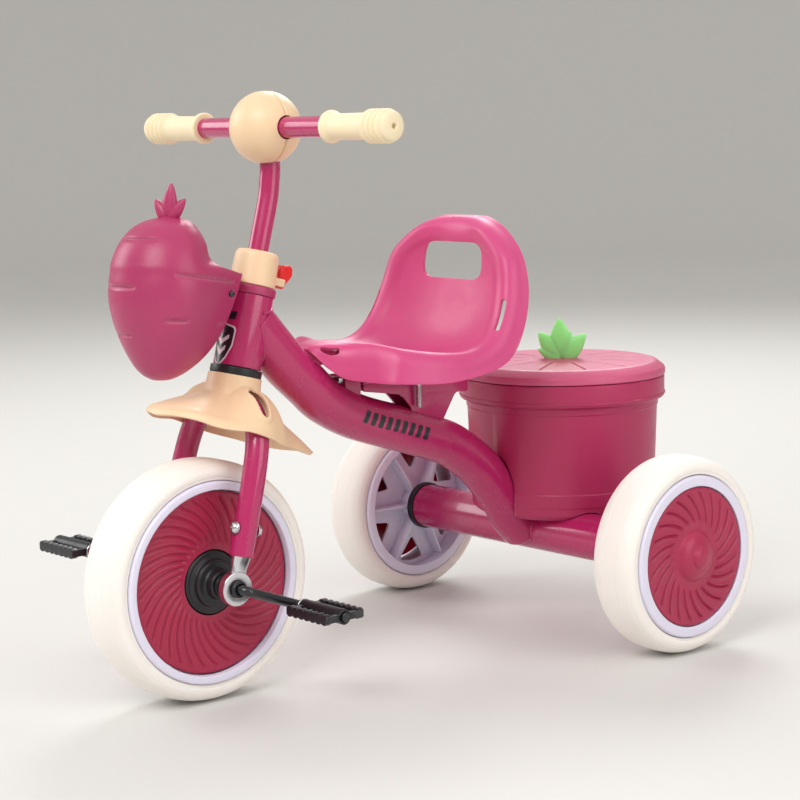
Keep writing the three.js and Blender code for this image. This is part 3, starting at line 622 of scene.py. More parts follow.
def decorations():
    chevron = [(-9, 243), (0, 237), (9, 243), (9, 238.5), (0, 232), (-9, 238.5)]
    for name, paint, out, outlines in (
            ("Shield_edge", "decal_pale", 0.10, [SHIELD]),
            ("Shield", "decal_dark", 0.17, [scaled_outline(SHIELD, 0.9), BANNER]),
            ("Shield_chevrons", "decal_pale", 0.24, [chevron, [(x * 0.72, z - 11) for x, z in chevron]])):
        sticker(name, HEAD, paint, outlines, (-18, 18), (204, 270),
                lambda arc, along, out=out: on_head_tube(arc, along, out), (40, 72))
    starts = [168 + 10.8 * k for k in range(9)]
    bars = [[(a, -6), (a + 6.4, -6), (a + 8.6, 8), (a + 2.2, 8)] for a in starts]
    for side, s in SIDES:
        def on_tube(along, up, s=s):
            p = on_main_tube(along, up / MAIN_RADIUS, 0.12)
            return (p.x * s, p.y, p.z)
        sticker(f"Tube_bars_{side}", TRIKE, "decal_dark", bars, (164, 266), (-12, 12), on_tube, (110, 24))


# ---------- seat ----------
SEAT_ROWS = [  # y, z, rise of the side, drop of the turned-down edge
    (-326, 338.5, 0, 6), (-318, 339, 0, 20), (-302, 339, 2, 36), (-282, 336, 4, 40), (-262, 330, 5, 36),
    (-222, 321, 8, 31), (-182, 318, 11, 26), (-150, 327, 17, 31), (-130, 350, 18.5, 31),
    (-118, 386, 16.5, 30), (-112, 422, 15.5, 26), (-111, 446, 12, 26), (-112, 460, 7, 22)]
# Half of the seat's edge: distance from the middle, distance along the seat from its nose.
SEAT_HALVES = [(0, 0), (10, 0.4), (18, 3), (24, 8), (29, 14), (36, 22), (46, 30), (60, 38), (76, 46.6),
               (92, 58), (103.5, 80), (110, 106), (113.5, 146), (113.5, 180), (111.5, 205), (106, 245),
               (98, 277), (89.5, 290), (78, 300.5), (66, 309), (52, 316), (34, 320.8), (16, 322.2),
               (0, 322.5)]
SEAT_LIP = 20.0
SEAT_SHEET = 3.5
SEAT_SPINE = (44.0, 262.0)
SEAT_SIDE_SLOT = [(100.2, 194), (106.2, 194), (102.3, 236), (96.3, 236)]
SEAT_NOSE_SLOT = [(20.5, 6.5), (24.5, 10.3), (29, 16), (33.5, 21.5), (31, 24), (26, 19), (21.5, 13),
                  (17.5, 9)]
SEAT_HANDLE = [(-47.5, 256.5), (47.5, 256.5), (44.5, 296), (-44.5, 296)]
SEAT_TABLE = measured(SEAT_ROWS, 2)
SEAT_EDGE = measured(SEAT_HALVES, 2)
SEAT_WIDTHS = [(along, x) for x, along in SEAT_HALVES]


def seat_point(x, along, below):
    y, z, rise, _ = curve_through(SEAT_TABLE, along)
    y0, z0 = curve_through(SEAT_TABLE, along - 5)[:2]
    y1, z1 = curve_through(SEAT_TABLE, along + 5)[:2]
    length = math.hypot(y1 - y0, z1 - z0)
    inward = (-(z1 - z0) / length, (y1 - y0) / length)
    half = max(curve_through(SEAT_WIDTHS, along)[0], 60)
    share = (abs(x) / (half - 14)) ** 2.4
    off = rise * share / (1 + share**4) ** 0.25 - below
    return (x, y + inward[0] * off, z + inward[1] * off)


def seat_outline(u):
    """A point (x, along) of the seat's edge; u = 0 is the nose and u = 0.5 the top of the back."""
    share = 2 * u if u <= 0.5 else 2 * (1 - u)
    x, along = curve_through(SEAT_EDGE, share * SEAT_EDGE[-1][0])
    return (x if u <= 0.5 else -x, along)


def seat():
    def opening(corners, side, radius):
        return [tuple(p) for p in rounded([(side * x, along) for x, along in corners], radius, 6, True)]

    holes = [opening(SEAT_HANDLE, 1, 16)]
    for _, s in SIDES:
        holes += [opening(SEAT_SIDE_SLOT, s, 2.6), opening(SEAT_NOSE_SLOT, s, 2)]
    columns, rows = 320, 46
    outlines = [seat_outline(i / columns) for i in range(columns + 1)]
    skirt_rows, lip_rows = 5, 10

    def edge_profile(k, drop, reach):
        """How far in from the edge, and how far below the surface, at row k of the way in."""
        lip = min(SEAT_LIP, 0.75 * drop)
        if k <= skirt_rows:
            down = 1 - k / skirt_rows
            return -1.6 * down, lip + (drop - lip) * down
        if k <= skirt_rows + lip_rows:
            a = (k - skirt_rows) / lip_rows * math.pi / 2
            return SEAT_LIP * (1 - math.cos(a)), lip * (1 - math.sin(a)) ** 1.25
        t = (k - skirt_rows - lip_rows) / (rows - skirt_rows - lip_rows)
        inset = lerp(SEAT_LIP, reach, t ** 1.15)
        return inset, 2.6 * smooth(SEAT_LIP, SEAT_LIP + 12, inset)

    def flat(u, v):
        i = min(int(u * columns), columns - 1)
        (x0, a0), (x1, a1) = outlines[i], outlines[i + 1]
        x, along = lerp(x0, x1, u * columns - i), lerp(a0, a1, u * columns - i)
        spine = clamp(along, *SEAT_SPINE)
        reach = math.hypot(x, along - spine)
        inset, below = edge_profile(v * rows, curve_through(SEAT_TABLE, along)[3], reach)
        t = inset / max(reach, 1e-6)
        return x * (1 - t), lerp(along, spine, t), below

    def place(u, v):
        x, along, below = flat(u, v)
        ridge = 1.5 * math.exp(-((along - 44 - 0.004 * x * x) / 7) ** 2) * smooth(80, 55, abs(x))
        dish = 3.0 * smooth(80, 130, along) * smooth(227, 172, along) * smooth(80, 20, abs(x))
        return seat_point(x, along, below - ridge + dish - 2.6)

    def keep(u, v):
        x, along, _ = flat(u, v)
        return min(outline_distance(hole, x, along) for hole in holes)

    shell = patch(place, columns, rows, keep, wrap=True)
    piece("Seat_pan", shell, TRIKE, "seat_plastic", "frame", "seat_shell", thick=SEAT_SHEET, bevel=1.1)


SEAT_BAR = {"from": -257.0, "to": -109.0, "half": 13.5, "height": 294.5, "web_at": 12.0}
SEAT_GUSSET = [(-109, 293), (-109, 271), (-127, 273), (-152, 235), (-185, 240), (-192, 264), (-206, 278),
               (-257, 286), (-257, 293)]
SEAT_FRONT_Y, SEAT_REAR_Y = -271, -186
SEAT_BOLTS = [  # name, x, y, height of the mount, top of the boss, tip
    ("front", 0, SEAT_FRONT_Y, 305, 329.5, 294.5), ("rear_left", 20, SEAT_REAR_Y, 296, 314.5, 263),
    ("rear_right", -20, SEAT_REAR_Y, 296, 314.5, 263)]


def bracket(name, shape, node=None, bevel=0.8, cuts=()):
    piece(name, shape, TRIKE, "frame_paint", "frame", node, bevel=bevel, cuts=cuts)


def seat_mounts():
    low, high, half, plate = (SEAT_BAR[key] for key in ("from", "to", "half", "height"))
    gusset = rounded(SEAT_GUSSET, 5, 4, True)
    tube_space = sweep(MAIN_PATH, MAIN_RADIUS + 0.2, 64, 0)
    webs = [(side, s * SEAT_BAR["web_at"]) for side, s in SIDES]
    for side, x in webs:
        bracket(f"Rear_bracket_web_{side}", prism(gusset, 1.5, x), bevel=0.5, cuts=[tube_space])
    bar = block((2 * half, high - low, 3), (0, (low + high) / 2, plate))
    bracket("Rear_bracket_bar", bar, "seat_bracket_rear")
    bracket("Rear_bracket_wings", block((60, 24, 2.8), (0, SEAT_REAR_Y, plate)))
    bracket("Front_bracket", block((2 * half, 24, 3), (0, SEAT_FRONT_Y, 303.5)), "seat_bracket_front")
    for side, x in webs:
        cheek = block((3, 20, 42), (x, SEAT_FRONT_Y, 282.6))
        bracket(f"Front_bracket_cheek_{side}", cheek, cuts=[tube_space])
    for name, x, y, mount, top, tip in SEAT_BOLTS:
        thread = [(3.0 - 0.25 * (k % 2), tip + 0.6 + 0.7 * k) for k in range(int((mount - tip - 8) / 0.7))]
        shank = lathe([(0, tip), (2.6, tip)] + thread + [(3, mount - 6), (3, top - 4), (0, top - 4)], 32)
        nut = hex_prism(10.4, mount - 8.6, mount - 4.2) + ring(6, 3.2, mount - 4.1, mount - 3.1)
        boss = turned_ring([(3.4, mount + 0.3), (8.2, mount + 0.3), (8.9, top), (3.4, top)], 0.8, 40)
        piece(f"Seat_bolt_{name}", (shank + nut).at(x, y, 0), TRIKE, "plated_steel", "frame")
        piece(f"Seat_boss_{name}", boss.at(x, y, 0), TRIKE, "seat_plastic", "frame")


# ---------- basket ----------
BASKET_LEVELS = [  # height, middle y, half width, half depth, half width of the back, y of the back
    (321, -500, 0.3, 0.3, 0.2, -499.6), (322.5, -500, 10, 10, 6, -489), (330, -499, 23, 22, 14, -474),
    (342, -498, 33, 31, 19, -456), (357, -497, 41, 39, 23, -441), (375, -496, 49, 46, 26, -429),
    (396, -495, 54, 51, 29, -419), (412, -494.5, 55, 51.5, 30, -412.4), (427, -494, 53, 50, 30, -412.4),
    (436, -494, 51.5, 48.5, 27, -446), (453, -493, 44.5, 42, 23, -451), (467, -490.5, 34, 32, 17, -459.5),
    (475, -487.5, 21, 20, 10, -467.5), (479.5, -486, 0.3, 0.3, 0.2, -485.6)]
# The lower edge of the opening seen from the side: y and height.
BASKET_MOUTH = [(-480, 512), (-466, 481), (-463, 452), (-462, 440), (-458, 432), (-449, 428),
                (-440, 425.5), (-426, 421.5), (-410, 420)]
BASKET_GROOVES = [  # height and angle at both ends; -90 degrees looks forward, 0 to the left
    (459, -133, 459, -42), (414.6, -133, 414.6, -63), (427, -24, 413.5, 63), (383, -35, 382, -5),
    (368, -133, 368, -76), (375, 45, 374, 63), (425, -160, 412, -243), (392, -200, 391, -160),
    (440, -175, 441, -215)]
BASKET_SCREW = (0, -443, 403)


def sprout(leaves, thickness):
    """Thick blunt leaves fanned out from one foot, in the XZ plane: lean, length and width of each."""
    across, along = 28, 20
    out = Shape()
    for lean, length, width in leaves:
        def place(u, v, length=length, width=width):
            a = TAU * u
            t = v * 0.998 + 0.001
            body = math.sin(math.pi * t ** 0.72) ** 0.62 * (1 - 0.25 * t)
            return (width / 2 * body * math.cos(a), thickness / 2 * body ** 0.8 * math.sin(a),
                    length * t)
        out = out + capped(patch(place, across, along, wrap=True), across).turned(lean, "Y")
    return out


def basket_section(z, count):
    """Evenly spaced points around the basket at one height, from the back over the right side."""
    y, a, b, rear, rear_y = curve_through(BASKET_LEVELS, z)
    depth = rear_y - y
    half = [(a * out, y - b * ahead) for out, ahead in quarter(1, 16)[:-1]]
    half += [(lerp(a, rear, (k / 12) ** 1.7), y + 0.86 * depth * k / 12) for k in range(13)]
    line = [(0, rear_y)] + [(-x, at) for x, at in reversed(half)] + half[1:]
    line = rounded(line, min(5, 0.2 * a), 3, True)
    lengths = [0.0]
    for p, q in zip(line, line[1:] + line[:1]):
        lengths.append(lengths[-1] + (q - p).length)
    out, k = [], 0
    for i in range(count):
        want = lengths[-1] * i / count
        while lengths[k + 1] < want:
            k += 1
        share = (want - lengths[k]) / max(lengths[k + 1] - lengths[k], 1e-9)
        out.append(line[k].lerp(line[(k + 1) % len(line)], share))
    return out, y


def basket():
    low, high = BASKET_LEVELS[0][0], BASKET_LEVELS[-1][0]
    columns, rows = 240, 190
    levels = [lerp(low, high, (1 - math.cos(math.pi * j / rows)) / 2) for j in range(rows + 1)]
    sections = [basket_section(z, columns) for z in levels]

    def place(u, v):
        i, j = u * columns, min(v * rows, rows - 1e-6)
        column, level = int(i + 1e-6) % columns, int(j)
        rings = [sections[level + e][0] for e in (0, 1)]
        p, q = (r[column].lerp(r[(column + 1) % columns], max(i - int(i + 1e-6), 0)) for r in rings)
        flat = p.lerp(q, j - level)
        z = lerp(levels[level], levels[level + 1], j - level)
        centre = Vector((0, lerp(sections[level][1], sections[level + 1][1], j - level)))
        out = flat - centre
        degrees = math.degrees(math.atan2(out.y, out.x))
        degrees = degrees if degrees <= 90 else degrees - 360
        dent = 0.0
        for z0, a0, z1, a1 in BASKET_GROOVES:
            t = (degrees - a0) / (a1 - a0)
            if -0.05 < t < 1.05:
                gap = (z - lerp(z0, z1, t)) / 1.5
                dent = max(dent, 2.3 * math.exp(-gap * gap) * smooth(0, 0.1, t) * smooth(1, 0.9, t))
        flat = centre + out * (1 - dent / max(out.length, 8))
        return (flat.x, flat.y, z)

    def keep(u, v):
        x, y, z = place(u, v)
        return curve_through(BASKET_MOUTH, y)[0] - z if y > BASKET_MOUTH[0][0] else 20.0

    shell = patch(place, columns, rows, keep, wrap=True)
    stalk = sprout([(8, 37, 18), (42, 29, 15), (-32, 25, 15)], 12).turned(28, "Z").at(0, -486, 474)
    piece("Basket", shell, TRIKE, "basket_plastic", "frame", "front_basket", thick=3.0, bevel=0.9)
    piece("Basket_stalk", stalk, TRIKE, "basket_plastic", "frame")
    for side, s in SIDES:
        boss = ring(6, 2.1, 23, 38.4, "x").on_side(s)
        screw = lathe([(0, 25), (2, 25), (2, 40.6), (3.2, 40.6), (3.2, 41.2), (2.7, 42.4), (1.7, 43),
                       (0.9, 43.1), (0.9, 42.2), (0, 42.2)], 32, "x").on_side(s)
        piece(f"Basket_boss_{side}", boss.at(*BASKET_SCREW), TRIKE, "basket_plastic", "frame")
        piece(f"Basket_screw_{side}", screw.at(*BASKET_SCREW), TRIKE, "black_steel", "frame")


# ---------- rear bin ----------
BIN_Y = 50.0


def off_groove(angle, count, radius):
    """Distance along the circle to the nearest of count grooves spread around it."""
    return abs((angle / (TAU / count) + 0.5) % 1 - 0.5) * TAU / count * radius


def bin_and_lid():
    outer = [(0, 122), (98, 122), (103.6, 127), (104.2, 136), (105.0, 137), (105.6, 151), (104.9, 152),
             (108.2, 240), (109.2, 241), (109.4, 248.5), (116.4, 250), (116.6, 273.2), (115.4, 274.5),
             (107, 274.5), (106.4, 250), (101.5, 130), (98, 125), (0, 125)]
    body = lathe(rounded(outer, 2.2), 144).at(0, BIN_Y, 0)
    floor_tube = rod(AXLE_TUBE_RADIUS + 1.2, -200, 200, "x", 0, 96).at(0, 0, AXLE_HEIGHT)
    tube_space = sweep(MAIN_PATH, MAIN_RADIUS + 1.2, 64, 0)
    piece("Bin", body, TRIKE, "bin_plastic", "frame", "bin_body", cuts=[floor_tube, tube_space], sharp=32)
    low_bead = turned_ring([(109.2, 252.6), (117.4, 252.6), (117.4, 255), (109.2, 255)], 0.7, 144)
    piece("Bin_band_bead", low_bead.at(0, BIN_Y, 0), TRIKE, "bin_plastic", "frame")

    def relief(r, h, angle):
        if h < 284 or not 34 < r < 103:
            return r, h
        depth = 2.0 * math.exp(-off_groove(angle, 12, r) ** 2) * smooth(36, 44, r) * smooth(101, 96, r)
        return r, h - depth

    top = [(116.8, 275.2), (117.4, 276), (117.4, 280.6), (116.4, 283.2), (108.2, 289.6), (105.6, 290.4)]
    top += [(r, 290.4 + 1.6 * (1 - (r / 105.6) ** 2)) for r in range(103, 30, -3)] + [(16, 292), (0, 292)]
    under = [(0, 288), (100, 286), (103, 280), (103, 262), (105.2, 262), (105.2, 275.1)]
    piece("Bin_lid", lathe(under + top, 720, relief=relief).at(0, BIN_Y, 0), TRIKE, "lid_plastic", "lid",
          sharp=30)
    leaf = sprout([(-3, 47, 29), (44, 40, 25), (-40, 40, 25), (-66, 29, 18), (18, 34, 20)], 10)
    piece("Lid_leaf", leaf.turned(43, "Z").at(0, BIN_Y, 290.8), TRIKE, "leaf_plastic", "lid")


# ---------- wheels ----------
REAR_WHEEL_X = middle("rear_tyre_left").x


def tyre_shape(radius, half, seat):
    line = [(seat, half - 3.5), (seat + 1.4, half - 0.9), (seat + 3.2, half - 1.3),
            (seat + 4.6, half - 0.2), (radius - 10.5, half), (radius - 6, half - 2.2),
            (radius - 2.8, half - 7), (radius - 1, half - 12.5), (radius - 0.25, half - 17.4),
            (radius - 0.75, half - 18), (radius - 0.2, half - 18.6), (radius - 0.15, 1.0), (radius, 0.0)]
    line += [(r, -x) for r, x in reversed(line[:-1])]
    return turned_ring(line, 1.6, 160, "x")


def barrel(half, cover_radius, seat, cover_at):
    edge, lip = half + 1, cover_radius + 0.7
    return turned_ring([(seat, 2 - half), (seat, half - 2), (seat - 1.4, edge), (lip + 1, edge),
                        (lip + 0.2, cover_at + 0.5), (lip + 2.4, cover_at - 6), (lip + 2.4, 6 - cover_at),
                        (lip + 0.2, -cover_at - 0.5), (lip + 1, -edge), (seat - 1.4, -edge)], 1.2, 144, "x")


def swirl(count, first, last, sweep_angle, depth, width, above):
    """Relief of curved grooves on a disc's face, fading out at both ends."""
    def relief(r, h, angle):
        if h <= above or not first < r < last:
            return r, h
        turn = angle - sweep_angle * (r - first) / (last - first)
        away = off_groove(turn, count, r)
        fade = smooth(first, first + 5, r) * smooth(last, last - 4, r)
        groove = math.exp(-(away / width) ** 2) - 0.45 * math.exp(-((away - 2.2 * width) / width) ** 2)
        return r, h - depth * groove * fade
    return relief


def disc_profile(inner, outer, at, thickness, spacing=1.8):
    count = max(2, round((outer - 1.5 - inner) / spacing))
    face = [(lerp(inner, outer - 1.5, k / count), at) for k in range(count + 1)]
    return face + [(outer - 0.4, at - 0.4), (outer, at - 1.4), (outer, at - thickness)]


def front_wheel():
    half, rim, cover = 29.9, 90.8, 24
    piece("Front_tyre", tyre_shape(120, half, 101.0), FRONT_WHEEL, "tyre_foam", "front_wheel")
    wheel = barrel(half, rim, 100.9, cover) + rod(16, -18, 18, "x")
    piece("Front_rim", wheel, FRONT_WHEEL, "rim_plastic", "front_wheel")
    for side, s in SIDES:
        relief = swirl(36, 38, 87, math.radians(34), 1.7, 1.5, cover - 0.1)
        disc = lathe(disc_profile(33, rim, cover, 2.4) + [(33, cover - 2.4)], 720, "x", loop=True,
                     relief=relief).on_side(s)
        piece(f"Front_cover_{side}", disc, FRONT_WHEEL, "cover_plastic", "front_wheel", sharp=60)
        flange = turned_ring([(5.4, 19), (31.6, 19), (31.6, 24.2), (29.4, 25.6), (27.6, 25.2), (26.4, 26.4),
                              (24, 27.6), (23.4, 32.2), (21.6, 33), (16.6, 33.4), (15.2, 35), (14.8, 43),
                              (13.2, 44), (10.2, 44.2), (9.8, 55.2), (5.4, 55.2)], 0.9, 112, "x")
        piece(f"Hub_flange_{side}", flange.on_side(s), FRONT_WHEEL, "black_plastic", "front_wheel",
              sharp=50)


def rear_wheels():
    half, rim, cover = 27.4, 73.6, 27
    window = [tuple(p) for p in rounded([(40.5, 0), (69, -19.5), (72.5, 0), (69, 19.5)], 6, 5, True)]
    rib_outline = [(14, -9), (76.5, -6.2), (76.5, -19), (60, -21), (30, -25.4), (14, -26)]
    rib = between(lambda r, h, at: (h, r, at), -1.3, 1.3, rib_outline)
    dome = [(0, 40), (3.5, 39.9), (7.5, 39.4), (10.4, 38.4), (11.6, 37.2), (12.2, 35.4), (13.4, 35),
            (17.5, 34.6), (21.5, 32.8), (24.8, 30.2), (26.4, 27.8), (27.6, cover), (30.5, cover)]
    under = [(0, 37.4), (12, 34), (22, 29.6), (28, 24.6)]

    def web_point(u, v):
        r, a = lerp(15, 77.5, v), TAU * u
        return (-6.0 - 3.5 * smooth(70, 20, r), r * math.cos(a), r * math.sin(a))

    def web_keep(u, v):
        r, a = lerp(15, 77.5, v), (TAU * u) % (TAU / 6) - math.pi / 6
        return outline_distance(window, r * math.cos(a), r * math.sin(a))

    web = patch(web_point, 240, 44, web_keep, wrap=True)
    ribs = sum((rib.turned(60 * k, "X") for k in range(6)), Shape())
    hub = turned_ring([(5.6, -27), (13, -27), (16.8, -25.5), (17.6, 6), (5.6, 6)], 1.0, 72, "x")
    disc = lathe(under + list(reversed(disc_profile(31.5, rim, cover, 2.4, 1.4))) + list(reversed(dome)),
                 576, "x", relief=swirl(24, 34, 70.5, math.radians(26), 2.2, 1.4, cover - 0.1))
    # A thin disc behind the rear cover's web in bright red: painted glow for the light that comes through
    # the cover.
    back = ring(72.8, 30, 23.7, 24.4, "x", 0.2, 96)
    for side, s in SIDES:
        place = Matrix.Translation((s * REAR_WHEEL_X, REAR_AXLE.y, REAR_AXLE.z)) @ MM
        for name, shape, paint, more in (
                ("tyre", tyre_shape(105, half, 86.5), "tyre_foam", {}),
                ("web", web, "rim_plastic", {"thick": 3.2 * s, "bevel": 0.6}),
                ("ribs", ribs, "rim_plastic", {"bevel": 0.5}),
                ("rim", barrel(half, rim, 86.0, cover) + hub, "rim_plastic", {}),
                ("cover", disc, "rear_cover_plastic", {"sharp": 60}),
                ("cover_painted_glow", back, "cover_painted_glow", {})):
            piece(f"Rear_{name}_{side}", shape.on_side(s), place, paint, f"rear_wheel_{side}", **more)


# ---------- crank and pedals ----------
CRANK_LENGTH = 70.0
CRANK_DROP = math.radians(21)
CRANK_ARM_AT = 79.0


def crank_end(s):
    return (0, s * CRANK_LENGTH * math.cos(CRANK_DROP), -s * CRANK_LENGTH * math.sin(CRANK_DROP))


def crank_and_pedals():
    pedal_at = crank_end(1)[1:]
    corners = [(0, 0, 0), (CRANK_ARM_AT, 0, 0), (CRANK_ARM_AT, *pedal_at), (151.5, *pedal_at)]
    half = spline(rounded(corners, 8, 8), 1.2)
    path = [Vector((-p.x, -p.y, -p.z)) for p in reversed(half[1:])] + half
    piece("Crank", sweep(path, 4.9, 32), FRONT_WHEEL, "black_steel", "front_wheel")
    low, high, teeth = 87.5, 149.0, 7
    crest = []
    for k in range(teeth):
        a, b = lerp(low, high, k / teeth), lerp(low, high, (k + 1) / teeth)
        crest += [(a + 0.6, 3.6), (lerp(a, b, 0.3), 5.2), (lerp(a, b, 0.7), 5.2), (b - 0.6, 3.6)]
    tread = [(low, -3.6), (low, 3.6)] + crest + [(high, 3.6), (high, -3.6)]
    tread += [(x, -z) for x, z in reversed(crest)]
    bars = Shape()
    for e in (-1, 1):
        bars = bars + between(lambda x, z, y: (x, y, z), e * 16.5, e * 23.5, tread)
    ends = block((6, 44, 7), (90.6, 0, 0)) + block((6, 44, 7), (145.9, 0, 0))
    ribs = block((2.4, 36, 5), (109, 0, 0)) + block((2.4, 36, 5), (127.5, 0, 0))
    sleeve = ring(7.6, 5.2, 87.6, 148.9, "x")
    collar = ring(8, 5.1, 84.6, 86.4, "x")
    for side, s in SIDES:
        def put(shape, s=s):
            return shape.on_side(s).at(*crank_end(s))

        piece(f"Pedal_washers_{side}", put(collar), FRONT_WHEEL, "plated_steel", "front_wheel")
        for part, shape, bevel, node, cuts in (
                ("cage", bars, 0.5, f"pedal_{side}", ()),
                ("ends", ends + ribs, 0.8, None, [put(rod(5.3, 60, 170, "x", 0, 32))]),
                ("sleeve", sleeve, 0, None, ())):
            piece(f"Pedal_{part}_{side}", put(shape), FRONT_WHEEL, "black_plastic", f"pedal_{side}", node,
                  bevel=bevel, cuts=cuts)


# ---------- fork, fender and steering column ----------
# Down the middle of a fork leg, from its end to the crown: x and height.
LEG_LINE = [(62, 31), (60.6, 70), (58.4, 118), (54.6, 143), (47.5, 160.5), (36, 172.5), (24, 177.5),
            (14.6, 178.5)]


def fork():
    for side, s in SIDES:
        leg = sweep(spline([(s * x, 0, z) for x, z in LEG_LINE], 3), 11.8, 48, 1.2)
        piece(f"Fork_leg_{side}", leg, HEAD, "frame_paint", "steering")
        eye = ring(17, 8.2, 57.5, 66.5, "x", 1.0, 72)
        neck = capped(patch(neck_point, 32, 14, wrap=True), 32)
        piece(f"Fork_eye_{side}", (eye + neck).on_side(s), HEAD, "plated_steel", "steering")
        bush = turned_ring([(5.5, 56.3), (7.8, 56.3), (7.8, 67.5), (8.6, 67.5), (8.6, 69.8), (7.8, 71),
                            (5.5, 71)], 0.7, 56, "x").on_side(s)
        piece(f"Axle_bush_{side}", bush, HEAD, "black_plastic", "steering")
        head = lathe([(0, -16.6), (0.9, -16.6), (0.9, -17.4), (3.4, -17.2), (5.4, -15.6), (6, -13.6),
                      (6, -13.2), (7, -13.2), (7, -12.2), (3, -12.2), (3, 19), (0, 19)], 40, "y")
        slot = block((1.1, 2.2, 7), (0, -16.9, 0)) + block((7, 2.2, 1.1), (0, -16.9, 0))
        nut = hex_prism(10.2, 13.2, 17.2, "y") + ring(7, 3.1, 12.2, 13.1, "y")
        at = (s * 60.5, 0, 58)
        piece(f"Eye_bolt_{side}", head.at(*at), HEAD, "plated_steel", "steering", cuts=[slot.at(*at)])
        piece(f"Eye_nut_{side}", nut.at(*at), HEAD, "plated_steel", "steering", bevel=0.4)
    crown = ring(19.5, 13.9, 164, 186, "z", 1.5)
    piece("Fork_crown", crown, HEAD, "frame_paint", "steering")


EYE_NECK = [(9, 11, 4.1), (14, 9, 4), (20, 8.6, 4.2), (26, 9.4, 5), (33, 10.4, 7)]


def neck_point(u, v):
    z = lerp(EYE_NECK[0][0], EYE_NECK[-1][0], v)
    wide, thick = curve_through(EYE_NECK, z)
    a = TAU * u
    return (62 + thick * math.copysign(abs(math.cos(a)) ** 0.6, math.cos(a)),
            wide * math.copysign(abs(math.sin(a)) ** 0.7, math.sin(a)), z)


FENDER_EDGE = [  # degrees from the front, reach, height of the edge
    (0, 83, 151), (18, 81, 153), (33, 77, 152.5), (46, 74, 149.5), (60, 71, 149.5), (74, 68, 151),
    (92, 67, 148.5), (112, 64, 144.5), (136, 69, 142.5), (160, 92, 140), (180, 110, 143)]
# Each way down the fender: share of the way to the edge, share of the way out, share of the way down.
FENDER_FRONT = [(0, 0, 0), (0.12, 0.012, 0.19), (0.2, 0.03, 0.326), (0.28, 0.086, 0.43),
                (0.4, 0.254, 0.535), (0.6, 0.547, 0.677), (0.8, 0.81, 0.82), (0.93, 0.956, 0.9), (1, 1, 1)]
FENDER_SIDE = [(0, 0, 0), (0.12, 0.022, 0.117), (0.22, 0.096, 0.213), (0.36, 0.336, 0.287),
               (0.5, 0.575, 0.406), (0.64, 0.782, 0.58), (0.8, 0.935, 0.8), (1, 1, 1)]
FENDER_REAR = [(0, 0, 0), (0.12, 0.009, 0.15), (0.22, 0.039, 0.28), (0.32, 0.108, 0.379),
               (0.5, 0.336, 0.534), (0.7, 0.588, 0.706), (0.88, 0.84, 0.877), (1, 1, 1)]
FENDER_NECK = (24.0, 204.2)
FENDER_FALL = 75.0  # millimetres from the neck to the edge, about
FENDER_SLOT = [  # degrees from straight ahead, hundredths of the way to the edge
    (75, 35), (84, 31), (92, 36), (95.5, 44), (95, 54), (93.5, 63), (91.5, 70), (88, 73), (84, 71),
    (81.5, 66), (79.5, 58), (77.5, 50), (74.5, 42)]


def fender_point(angle, share):
    """A point of the fender from the angle off straight ahead and the share of the way to its edge."""
    degrees = abs((math.degrees(angle) + 180) % 360 - 180)
    reach, edge = curve_through(FENDER_EDGE, degrees)
    end = FENDER_FRONT if degrees < 90 else FENDER_REAR
    shoulder = smooth(48, 80, degrees) if degrees < 90 else smooth(150, 112, degrees)
    a, b = curve_through(end, share), curve_through(FENDER_SIDE, share)
    out, down = (lerp(a[k], b[k], shoulder) for k in (0, 1))
    radius = lerp(FENDER_NECK[0], reach, out)
    return (radius * math.sin(angle), -radius * math.cos(angle), lerp(FENDER_NECK[1], edge, down))


def fender():
    window = [(degrees, share * FENDER_FALL / 100) for degrees, share in FENDER_SLOT]

    def clear(u, v):
        """How far a point of the fender is from its side windows, in millimetres."""
        return outline_distance(window, abs((360 * u + 180) % 360 - 180), FENDER_FALL * v)

    def place(u, v):
        p = Vector(fender_point(TAU * u, v))
        away = Vector((p.x, p.y, 30)).normalized()
        return p + away * 1.7 * math.exp(-((clear(u, v) - 1.0) / 2.4) ** 2)

    skin = patch(place, 260, 84, clear, wrap=True)
    piece("Fender", skin, HEAD, "cream_plastic", "steering", "front_fender", thick=3.0, bevel=1.2)


SLEEVE = {"from": 295.4, "to": 330.5, "radius": 22.5}


def sleeve_and_lever():
    low, high, radius = SLEEVE["from"], SLEEVE["to"], SLEEVE["radius"]
    body = turned_ring([(14.5, low), (radius + 0.7, low), (radius + 0.7, low + 3), (radius - 0.4, high - 5),
                        (radius - 2.4, high - 0.8), (radius - 7, high), (10.8, high), (10.8, high - 6),
                        (14.5, high - 9)], 1.6, 80, steps=4)
    piece("Stem_sleeve", body, HEAD, "cream_plastic", "steering")
    pivot = (0, radius + 8, low + 9)
    lug = block((3, 14, 8), (8.9, radius + 3.6, pivot[2]))
    piece("Sleeve_lugs", lug + lug.mirrored(), HEAD, "cream_plastic", "steering", bevel=1.2)
    outline = rounded([(-3.8, -4.6), (1, -6.2), (4.8, -4.6), (6.4, 1), (10, 5), (12.4, 10), (11.4, 17),
                       (7, 19.5), (2, 17.5), (-1.2, 18.5), (-3.4, 13), (-2.4, 6), (-4.4, 0)], 1.6, 3, True)
    lever = prism(outline, 6.8).at(*pivot)
    pin_hole = rod(2.5, -20, 20, "x", 0, 24).at(*pivot)
    piece("Clamp_lever", lever, HEAD, "lever_plastic", "clamp_lever", "quick_release_lever", bevel=1.4,
          cuts=[pin_hole])
    pin = rod(2.2, -10.2, 10.2, "x", 0.4, 24)
    piece("Lever_pin", pin.at(*pivot), HEAD, "plated_steel", "steering")


# ---------- handlebar ----------
BAR = {"y": -365.2, "z": 560.8, "half": 195.0, "radius": 10.5, "ball": 36.2}


